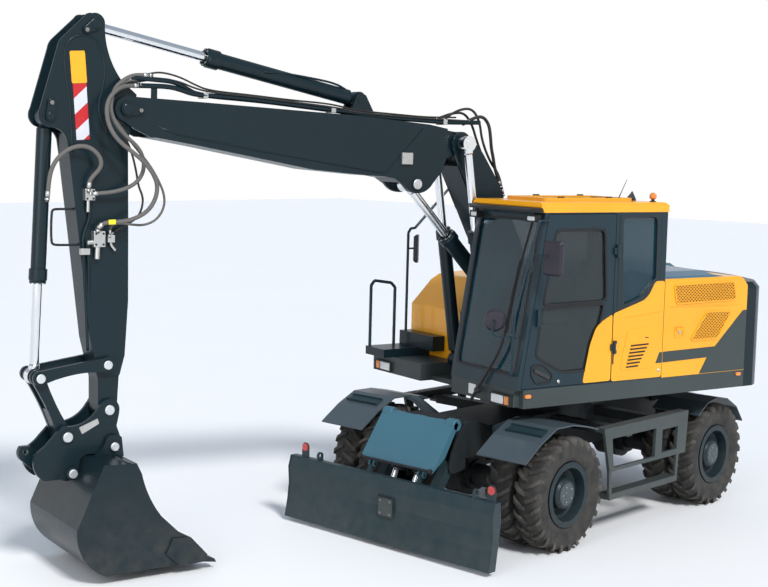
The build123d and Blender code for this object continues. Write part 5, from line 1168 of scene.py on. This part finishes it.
class EXCAVATOR_OT_hoses(bpy.types.Operator):
    """Hoses with their crimped ends, steel pipes, clamps and manifolds of the gear"""

    bl_idname = "excavator.hoses"
    bl_label = "Hoses and pipes"

    def execute(self, context):
        for name, finish, radius, points, first, last in HOSES:
            hose = put(name, gear_tube(points, radius), finish, None, smooth=True)
            ends = in_gear(np.array([points[0], points[-1]]))
            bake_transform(hose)
            for tag, way, body in (("near", 1, first), ("far", -1, last)):
                end = fitting(points, way, radius)
                put(f"{name}_{tag}_end", end, "zinc", body, smooth=True)
        for name, finish, radius, points, body in PIPES:
            put(name, gear_tube(points, radius), finish, body, smooth=True)
        for name, finish, middle, size, inner, deep, body in BLOCKS:
            low = inner - 0.001
            block = prism(box(*middle, *size), low, low + deep, in_gear)
            put(name, block, finish, body, 0.004)
        bolts = [
            bolt_ring(
                shifted(in_gear, x + i * 0.32 * wide, z + j * 0.34 * high, MANIFOLD_FACE),
                0.009, 0.008,
            )
            for x, z, wide, high in MANIFOLDS
            for i in SIDES
            for j in SIDES
        ]
        put("manifold_bolts", bolts, "black", "arm")
        stubs = [gear_tube(points, radius) for radius, points in STUBS]
        put("manifold_stubs", stubs, "zinc", "arm", smooth=True)
        put("hose_band", gear_tube(HOSE_BAND, 0.021, 2), "band", "arm", smooth=True)
        return {"FINISHED"}


# Cylinders: base pin, rod pin, places sideways, barrel length, barrel radius and body; then
# how much wider the gland's reference circle is, and its ring's and bolts' share of that
GLANDS = [
    ((2.33, 4.035), (4.932, 4.54), (0.0,), 1.577, 0.07, "arm_barrel"),
    ((5.31, 3.79), (5.4, 1.682), (0.0,), 1.333, 0.062, "bucket_barrel"),
    ((0.9, 1.5), (1.24, 3.66), (-0.26, 0.26), 1.33, 0.065, "boom_barrels"),
    ((0.7, 2.19), (1.745, 3.27), (0.0,), 0.8, 0.078, "adjust_barrel"),
]
GLAND_OVER, GLAND_IN, GLAND_OUT, GLAND_BOLTS = 1.2, 0.62, 0.92, 0.8


class EXCAVATOR_OT_glands(bpy.types.Operator):
    """Bolted gland rings at the cylinders' mouths"""

    bl_idname = "excavator.glands"
    bl_label = "Cylinder glands"

    def execute(self, context):
        for base, rod, sides, length, radius, body in GLANDS:
            parts, bolts = [], []
            d = unit(np.subtract(rod, base))
            mouth = base + length * d
            r = radius * GLAND_OVER
            inner, outer = r * GLAND_IN, r * GLAND_OUT
            ring = [(inner, 0.0005), (outer, 0.0005), (outer, 0.012), (inner, 0.012)]
            for side in sides:
                place = placed(in_gear, (*mouth, side), (-d[1], d[0], 0.0), Z, (*d, 0.0))
                parts.append(lathe(ring, place, closed=True))
                face = shifted(place, 0.0, 0.0, 0.012)
                bolts.append(bolt_ring(face, 0.009, 0.01, r * GLAND_BOLTS, 8))
            put(f"gland_{body}", parts, "dark", body)
            put(f"gland_bolts_{body}", bolts, "steel", body)
        return {"FINISHED"}


# Cab: seals, wiper, lenses, mirror glass, handle, roof fittings
SCREEN = [(0.326, 1.6), (1.19, 1.6), (1.19, 2.99), (0.326, 2.99)]
DOOR_UPPER = [(1.014, 2.904), (0.422, 2.906), (0.372, 2.235), (1.14, 2.222)]
DOOR_LOWER = [
    (1.146, 2.2), (0.396, 2.214), (0.52, 1.7), (0.56, 1.6), (0.889, 1.6), (1.21, 1.763),
]
QUARTER = [(0.203, 3.005), (-0.233, 3.011), (-0.245, 2.422), (-0.062, 2.26), (0.167, 2.191)]
QUARTER_EDGE = [(0.243, 3.04), (-0.3, 3.046), (-0.31, 2.4), (-0.115, 2.232), (0.243, 2.122)]
HANDLE = [
    (1.25, 1.684), (1.122, 1.686), (1.003, 1.59), (1.024, 1.526), (1.194, 1.516), (1.256, 1.6),
]
WIPER = [(0.73, 1.4), (0.85, 1.6), (1.0, 1.84), (1.012, 2.257), (1.037, 2.5)]
BLADE_OF_WIPER = [(1.006, 2.06), (1.012, 2.257), (1.037, 2.544), (1.069, 2.732), (1.104, 2.942)]
# Lamps: middle of the back (forward, sideways, height), width, height, depth, and the side
# of the amber end: 1 left, -1 right, 0 none
LAMPS = [
    ((1.4, 1.04, 1.362), 0.28, 0.105, 0.04, 1),
    ((1.29, -1.04, 1.362), 0.28, 0.105, 0.03, -1),
    ((1.18, 1.165, 3.005), 0.13, 0.064, 0.072, 0),
    ((1.18, 0.326, 3.005), 0.112, 0.064, 0.072, 0),
]
LAMP_RIM, AMBER_WIDE, LENS_GAP = 0.026, 0.075, 0.006
# Mirrors: middle, the way the glass looks, width, height
MIRRORS = [
    ((1.238, 1.472, 2.67), (-0.94, -0.342), 0.19, 0.31),
    ((0.86, -1.149, 2.558), (-0.785, 0.62), 0.18, 0.29),
    ((1.5, 1.01, 2.08), (-0.8, -0.6), 0.2, 0.2),
]
MIRROR_DEEP = 0.022
HOOD_LOW, HOOD_CROWN = 2.409, 0.062
SKYLIGHT = [(0.893, 0.345), (0.893, 0.96), (-0.2, 0.96), (-0.2, 0.345)]
# Seals: name, outline of the opening, corner, placement, body; then how far they reach
SEALS = [
    ("windscreen_seal", SCREEN, 0.06, on_screen, "upper"),
    ("door_upper_seal", DOOR_UPPER, 0.06, on_side, "cab_door"),
    ("door_lower_seal", DOOR_LOWER, 0.05, on_side, "cab_door"),
]
SEAL_OUTER, SEAL_INNER, SEAL_LOW, SEAL_HIGH = -0.01, 0.014, -0.012, 0.005
# Flat bars: name, from, to, thickness, low and high outwards, finish, body, rounded edge
BARS = [
    (
        "handle_lever", (1.05, 1.562), (1.222, 1.64), 0.034, 0.003, 0.02,
        "plastic", "cab_door", 0.006,
    ),
    ("hinge_slot", (0.271, 1.637), (0.271, 1.827), 0.016, 0.004, 0.009, "black", "upper", 0.003),
    ("hatch_slot", (-0.172, 1.868), (-0.128, 1.871), 0.009, 0.009, 0.0125, "black", "upper", 0.0),
]
# Round buttons: name, place and body; then the profile that they share
BUTTONS = [
    ("lock_buttons", (-0.329, 1.541), "upper"),
    ("door_button", (0.93, 1.52), "cab_door"),
    ("latch_button", (-0.59, 1.895), "upper"),
]
BUTTON = [(0.016, -0.002), (0.016, 0.008), (0.012, 0.011)]
MARKERS = [(1.285, 1.408), (-1.44, 1.43)]
# Fin: cross-sections that narrow and lean back: height, front, back, half width
FIN = [
    (0.0, -0.215, -0.38, 0.03),
    (0.03, -0.262, -0.366, 0.02),
    (0.062, -0.296, -0.346, 0.01),
    (0.088, -0.318, -0.33, 0.002),
]
# Hood: place forward and share of the crown; place sideways and share of the crown
HOOD_STATIONS = [(-0.4, 0.55), (-0.44, 1.0), (-1.15, 1.0), (-1.29, 0.12)]
HOOD_SECTION = [(0.322, 0.0), (1.172, 0.0), (1.15, 0.3), (0.96, 0.78), (0.322, 1.0)]
HOOD_INNER, HOOD_INNER_RIGHT, HOOD_OUTER = 0.322, 0.396, 1.172
ROOF_LATCHES = [(0.53, 0.372), (-0.034, 0.372), (0.7, 0.93), (0.1, 0.93)]
AERIAL = [(-0.05, 0.9, 0.02), (-0.09, 0.9, 0.09), (-0.135, 0.9, 0.172), (-0.153, 0.9, 0.204)]
BEACON = (-0.32, 1.09, 0.0)


class EXCAVATOR_OT_cab_trim(bpy.types.Operator):
    """Window seals, wiper, door handle, locks and side markers of the cab"""

    bl_idname = "excavator.cab_trim"
    bl_label = "Cab trim"

    def execute(self, context):
        for name, outline, corner, place, body in SEALS:
            edge = rounded(outline, corner, 6)
            edges = (shrunk(edge, SEAL_OUTER), shrunk(edge, SEAL_INNER))
            band = frame_band(*edges, SEAL_LOW, SEAL_HIGH, place)
            put(name, band, "black", body, 0.003)
        edges = (rounded(QUARTER_EDGE, 0.03), rounded(QUARTER, 0.05))
        put("quarter_surround", frame_band(*edges, SUNK, 0.003, on_side), "tinted", "upper")
        # wiper: an arm that tapers to the blade's middle, a thin blade, and its pivot cap
        path = smooth_path([(y, z, 0.03) for y, z in WIPER], 6)
        path[:, 2] = np.linspace(0.03, 0.04, len(path))
        parts = [tube(path, np.linspace(0.017, 0.009, len(path)), on_screen, 8)]
        for out, radius in ((0.022, 0.009), (0.01, 0.005)):
            rail = smooth_path([(y, z, out) for y, z in BLADE_OF_WIPER], 4)
            parts.append(tube(rail, radius, on_screen, 6))
        cap = [(0.03, -0.002), (0.03, 0.04), (0.022, 0.048)]
        parts.append(lathe(cap, shifted(on_screen, *WIPER[0], 0.0)))
        put("wiper", parts, "black", "upper")
        # door handle: recess and rim; its lever is the first of the bars
        edge = rounded(HANDLE, 0.025)
        put("handle_recess", prism(edge, SUNK, 0.002, on_side), "tinted", "cab_door")
        rim = frame_band(shrunk(edge, -0.008), shrunk(edge, 0.008), SUNK, 0.01, on_side)
        put("handle_rim", rim, "black", "cab_door", 0.003)
        for name, a, b, thick, low, high, finish, body, edge in BARS:
            put(name, slat(a, b, thick, low, high, on_side), finish, body, edge)
        for name, at, body in BUTTONS:
            put(name, lathe(BUTTON, shifted(on_side, *at, 0.0), 20), "zinc", body)
        pad = round_outline(0.125, 0.115, 0.012) + (-0.585, 1.9)
        latch = [
            frame_band(pad, shrunk(pad, 0.012), SUNK, 0.007, on_side),
            slat((-0.64, 1.925), (-0.545, 1.925), 0.03, -0.001, 0.01, on_side),
        ]
        put("side_latch", latch, "yellow", "upper", 0.002)
        creases = [
            slat((-0.459, 2.146), (-1.395, 2.134), 0.01, -0.001, 0.006, on_side),
            slat((0.14, 2.068), (-0.36, 2.113), 0.008, 0.004, 0.01, on_side),
        ]
        put("panel_creases", creases, "yellow", "upper", 0.003)
        oval = round_outline(0.07, 0.036, 0.0179, 7)
        markers = [prism(oval + at, SUNK, 0.013, on_side) for at in MARKERS]
        put("side_markers", markers, "amber", "upper", 0.006, 3)
        deck = facing(on_upper, (1.4, 0.588, 1.385))
        plate = prism(round_outline(0.105, 0.095, 0.006), SUNK, 0.004, deck)
        put("deck_plate", plate, "plate", "upper")
        return {"FINISHED"}


class EXCAVATOR_OT_lamps(bpy.types.Operator):
    """Clear and amber lenses in the lamps, glass in the mirrors"""

    bl_idname = "excavator.lamps"
    bl_label = "Lamps and mirrors"

    def execute(self, context):
        clear, amber = [], []
        for back, wide, high, deep, outer in LAMPS:
            w, h = wide - LAMP_RIM, high - LAMP_RIM
            spans = [(-w / 2, w / 2, clear)]
            if outer:
                split = outer * (w / 2 - AMBER_WIDE)
                gap = outer * LENS_GAP
                spans = [
                    (-outer * w / 2, split - gap, clear), (split + gap, outer * w / 2, amber)
                ]
            for a, b, group in spans:
                outline = round_outline(abs(b - a), h, 0.01) + ((a + b) / 2, 0.0)
                place = facing(on_upper, back)
                group.append(prism(outline, deep - 0.011, deep - 0.003, place))
        put("clear_lenses", clear, "clear", "upper", 0.004, 3)
        put("amber_lenses", amber, "amber", "upper", 0.004, 3)
        glass, rims = [], []
        low = MIRROR_DEEP - 0.001
        for middle, looks, wide, high in MIRRORS:
            # a square one is round
            corner = 0.03 if wide != high else wide / 2 - 0.0001
            edge = round_outline(wide, high, corner, 9)
            inner = round_outline(wide - 0.02, high - 0.02, max(corner - 0.01, 0.02), 9)
            x, y = unit(looks)
            place = placed(on_upper, middle, (-y, x, 0.0), Z, (x, y, 0.0))
            glass.append(prism(inner, low, MIRROR_DEEP + 0.001, place))
            rims.append(frame_band(edge, inner, low, MIRROR_DEEP + 0.005, place))
        put("mirror_glass", glass, "mirror", "upper")
        put("mirror_rims", rims, "shell", "upper", 0.002)
        return {"FINISHED"}


class EXCAVATOR_OT_roof(bpy.types.Operator):
    """Roof light with its frame and latches, engine hood, aerial, fin and beacon"""

    bl_idname = "excavator.roof"
    bl_label = "Roof fittings"

    def execute(self, context):
        edge = rounded(SKYLIGHT, 0.07, 6)
        rim = frame_band(edge, shrunk(edge, 0.055), SUNK, 0.03, on_roof)
        put("roof_light_frame", rim, "yellow", "upper", 0.01, 3)
        put("roof_light", prism(shrunk(edge, 0.052), SUNK, 0.014, on_roof), "tinted", "upper")
        # engine hood: two crowned wings that slope from its middle to the yellow sides
        x, along = np.array(HOOD_STATIONS).T[:, :, None]
        across, rise = np.array(HOOD_SECTION).T
        z = HOOD_LOW + HOOD_CROWN * along * rise
        wings = []
        for side, inner in ((1, HOOD_INNER), (-1, HOOD_INNER_RIGHT)):
            y = side * np.interp(across, (HOOD_INNER, HOOD_OUTER), (inner, HOOD_OUTER))
            wings.append(rings(on_upper(stacked(x, y, z))))
        put("hood_wings", wings, "hood", "upper", 0.006)
        latches = [prism(box(*at, 0.07, 0.024), 0.028, 0.042, on_roof) for at in ROOF_LATCHES]
        put("roof_latches", latches, "black", "upper", 0.004)
        x, y, _z = AERIAL[0]
        foot = [(0.03, -0.001), (0.028, 0.01), (0.012, 0.03)]
        parts = [lathe(foot, shifted(on_roof, x, y, 0.0), 20)]
        parts.append(tube(AERIAL, [0.006, 0.004, 0.003, 0.0025], on_roof, 6, Y))
        put("aerial", parts, "black", "upper", smooth=True)
        height, front, back, half = np.array(FIN).T[:, :, None]
        w = turns(16)
        x = (front + back) / 2 + (front - back) / 2 * np.cos(w)
        fin = rings(on_roof(stacked(x, 0.8 + half * np.sin(w), height)))
        put("roof_fin", fin, "plastic", "upper", smooth=True)
        # beacon: a dark foot and a domed amber lens
        foot = [(0.032, -0.001), (0.032, 0.006), (0.016, 0.01), (0.016, 0.026)]
        put("beacon_foot", lathe(foot, shifted(on_roof, *BEACON), 24), "black", "upper")
        a = np.linspace(-0.9, pi / 2 - 0.05, 9)
        dome = np.stack([0.036 * np.cos(a), 0.052 + 0.036 * np.sin(a)], -1)
        lamp = lathe(dome, shifted(on_roof, *BEACON), 28)
        put("beacon_lens", lamp, "amber", "upper", smooth=True)
        return {"FINISHED"}


# Undercarriage and blade: small fittings
REFLECTORS = [(2.36, -1.08, 0.731), (2.36, 1.178, 0.731)]
BOLTED_PLATE = (2.394, 0.027, 0.372)
# Cover: its upper pin (forward, height) and the direction that its skin faces
COVER_PIN, COVER_OUT = (1.94, 1.12), (0.807, 0.591)
COVER_HOLE = (2.0, 0.053, 1.103)
# Its bar: forward and up from the pin, then off the skin; and where its knobs sit
COVER_BAR, KNOB_Y, KNOB_HALF = (0.3, -0.41, 0.062), 0.425, 0.014
HUB_COVER = [(0.106, -0.003), (0.106, 0.006), (0.096, 0.011), (0.03, 0.013), (0.026, 0.018)]
# Section of the channel on a front mudguard, forward and height
MUDGUARD_BAR = [
    (1.602, 1.134), (1.606, 1.158), (1.612, 1.158), (1.61, 1.14), (1.684, 1.106),
    (1.694, 1.122), (1.7, 1.12), (1.69, 1.094),
]
MUDGUARD_BAR_INNER, MUDGUARD_BAR_OUTER = 0.79, 1.19
# Bars of the steps' treads: places forward, middle sideways, width, depth, low and high
TREADS = np.arange(-0.68, 0.76, 0.06)
TREAD_Y, TREAD_WIDE, TREAD_DEEP = 1.193, 0.016, 0.086
TREAD_LOW, TREAD_HIGH = 1.0605, 1.066


def round_bar(at, radius, a, b):
    """A round bar across the machine with blunt ends, from a to b sideways."""
    ring = [(radius * 0.85, a), (radius, a + 0.006), (radius, b - 0.006), (radius * 0.85, b)]
    return lathe(ring, shifted(along_ground, *at, 0.0), 24)


class EXCAVATOR_OT_blade_trim(bpy.types.Operator):
    """Reflectors, the bolted plate of the blade, and the cover's hinges, bar and hole"""

    bl_idname = "excavator.blade_trim"
    bl_label = "Blade fittings"

    def execute(self, context):
        outline = capsule((0.0, -0.11), 0.046, (0.0, 0.0), 0.046)
        outline = [(u, max(v, -0.103)) for u, v in outline]
        dome = [(0.038, 0.005), (0.038, 0.012), (0.03, 0.015)]
        places = [facing(on_ground, at) for at in REFLECTORS]
        posts = [prism(outline, -0.006, 0.006, place) for place in places]
        put("reflector_plates", posts, "blade", "blade", 0.002)
        put("reflectors", [lathe(dome, place, 28) for place in places], "red", "blade")
        # bolted plate on its block
        place = facing(on_ground, BOLTED_PLATE)
        block = prism(round_outline(0.2, 0.2, 0.01), 0.0, 0.034, place)
        plate = prism(round_outline(0.165, 0.165, 0.006), 0.033, 0.043, place)
        put("blade_block", block, "dark", "blade", 0.004)
        put("blade_plate", plate, "skirt", "blade", 0.002)
        bolts = [
            bolt_ring(shifted(place, i * 0.058, j * 0.058, 0.043), 0.011, 0.007)
            for i in SIDES
            for j in SIDES
        ]
        put("blade_plate_bolts", bolts, "steel", "blade")
        # cover: hinge barrels round its upper pins, a bar with knobs near its lower edge, a hole
        # filled with black as painted shade
        (x, z), (nx, nz) = COVER_PIN, COVER_OUT
        barrels = [round_bar((x, z), 0.058, *span) for span in ((-0.44, -0.33), (0.33, 0.44))]
        put("cover_hinges", barrels, "cover", "blade_cover", 0.003)
        dx, dz, off = COVER_BAR
        low = (x + dx + nx * off, z + dz + nz * off)
        rod = [round_bar(low, 0.013, -0.42, 0.42)]
        for side in SIDES:
            y = side * KNOB_Y
            rod.append(round_bar(low, 0.024, y - KNOB_HALF, y + KNOB_HALF))
        put("cover_bar", rod, "black", "blade_cover")
        # (sideways, up the slope, outward) from the middle of the cover's hole
        on_cover = placed(on_ground, COVER_HOLE, Y, (-nz, 0.0, nx), (nx, 0.0, nz))
        rim = [(0.021, -0.004), (0.03, -0.004), (0.03, 0.0035), (0.021, 0.0035)]
        put("cover_hole_rim", lathe(rim, on_cover, 24, True), "cover", "blade_cover")
        # a black disc fills the hole: painted shade inside it
        hole = lathe([(0.022, -0.004), (0.022, 0.0015)], on_cover, 24)
        put("cover_hole", hole, "black", "blade_cover")
        return {"FINISHED"}


class EXCAVATOR_OT_ground_trim(bpy.types.Operator):
    """Hub covers, wheel nuts, step treads and the bars on the front mudguards"""

    bl_idname = "excavator.ground_trim"
    bl_label = "Hubs and steps"

    def execute(self, context):
        for name, (axle_x, side) in WHEELS.items():
            middle = (axle_x, side * HUB_FACE, WHEEL_Z)
            place = placed(on_ground, middle, X, Z, (0.0, side, 0.0))
            put(f"hub_cover_{name}", lathe(HUB_COVER, place, 40), "hub", f"wheels_{name}")
            nuts = bolt_ring(shifted(place, 0.0, 0.0, 0.01), 0.012, 0.009, 0.07, 5)
            put(f"hub_bolts_{name}", nuts, "steel", f"wheels_{name}")
        # treads: rows of low bars across the steps' plates
        treads = []
        for side in SIDES:
            for x in TREADS:
                middle = (x + TREAD_WIDE / 2, side * TREAD_Y)
                bar = box(*middle, TREAD_WIDE, side * TREAD_DEEP)
                treads.append(prism(bar, TREAD_LOW, TREAD_HIGH, on_ground))
        put("step_treads", treads, "steel", "undercarriage")
        # bars on the mudguards: a channel's section carried sideways
        bars = []
        for side in SIDES:
            ends = (side * MUDGUARD_BAR_INNER, side * MUDGUARD_BAR_OUTER)
            bars.append(prism(MUDGUARD_BAR, *ends, along_ground))
        put("mudguard_bars", bars, "blade", "undercarriage")
        return {"FINISHED"}


# Everything in the order that it is made
STEPS = (
    EXCAVATOR_OT_finishes,
    EXCAVATOR_OT_stage,
    EXCAVATOR_OT_wheels,
    EXCAVATOR_OT_side_panels,
    EXCAVATOR_OT_pins,
    EXCAVATOR_OT_arm_trim,
    EXCAVATOR_OT_hoses,
    EXCAVATOR_OT_glands,
    EXCAVATOR_OT_cab_trim,
    EXCAVATOR_OT_lamps,
    EXCAVATOR_OT_roof,
    EXCAVATOR_OT_blade_trim,
    EXCAVATOR_OT_ground_trim,
)


class EXCAVATOR_PT_looks(bpy.types.Panel):
    """Buttons for each group of pieces"""

    bl_idname = "EXCAVATOR_PT_looks"
    bl_label = "Excavator looks"
    bl_space_type = "VIEW_3D"
    bl_region_type = "UI"
    bl_category = "Excavator"

    def draw(self, context):
        layout = self.layout
        for group in (context.scene.excavator_colours, context.scene.excavator_stage):
            for name in group.bl_rna.properties.keys():
                if name not in ("rna_type", "name"):
                    layout.prop(group, name)
        for step in STEPS:
            layout.operator(step.bl_idname)


GROUPS = (EXCAVATOR_PG_colours, EXCAVATOR_PG_stage)


def register():
    """Add the settings, the operators and the panel."""
    for cls in (*GROUPS, *STEPS, EXCAVATOR_PT_looks):
        bpy.utils.register_class(cls)
    scene = bpy.types.Scene
    scene.excavator_colours = bpy.props.PointerProperty(type=EXCAVATOR_PG_colours)
    scene.excavator_stage = bpy.props.PointerProperty(type=EXCAVATOR_PG_stage)


def unregister():
    """Take them away again."""
    del bpy.types.Scene.excavator_stage
    del bpy.types.Scene.excavator_colours
    for cls in reversed((*GROUPS, *STEPS, EXCAVATOR_PT_looks)):
        bpy.utils.unregister_class(cls)


def main():
    """Make every piece in order."""
    register()
    for step in STEPS:
        group, name = step.bl_idname.split(".")
        getattr(getattr(bpy.ops, group), name)()


if __name__ == "__main__":
    main()
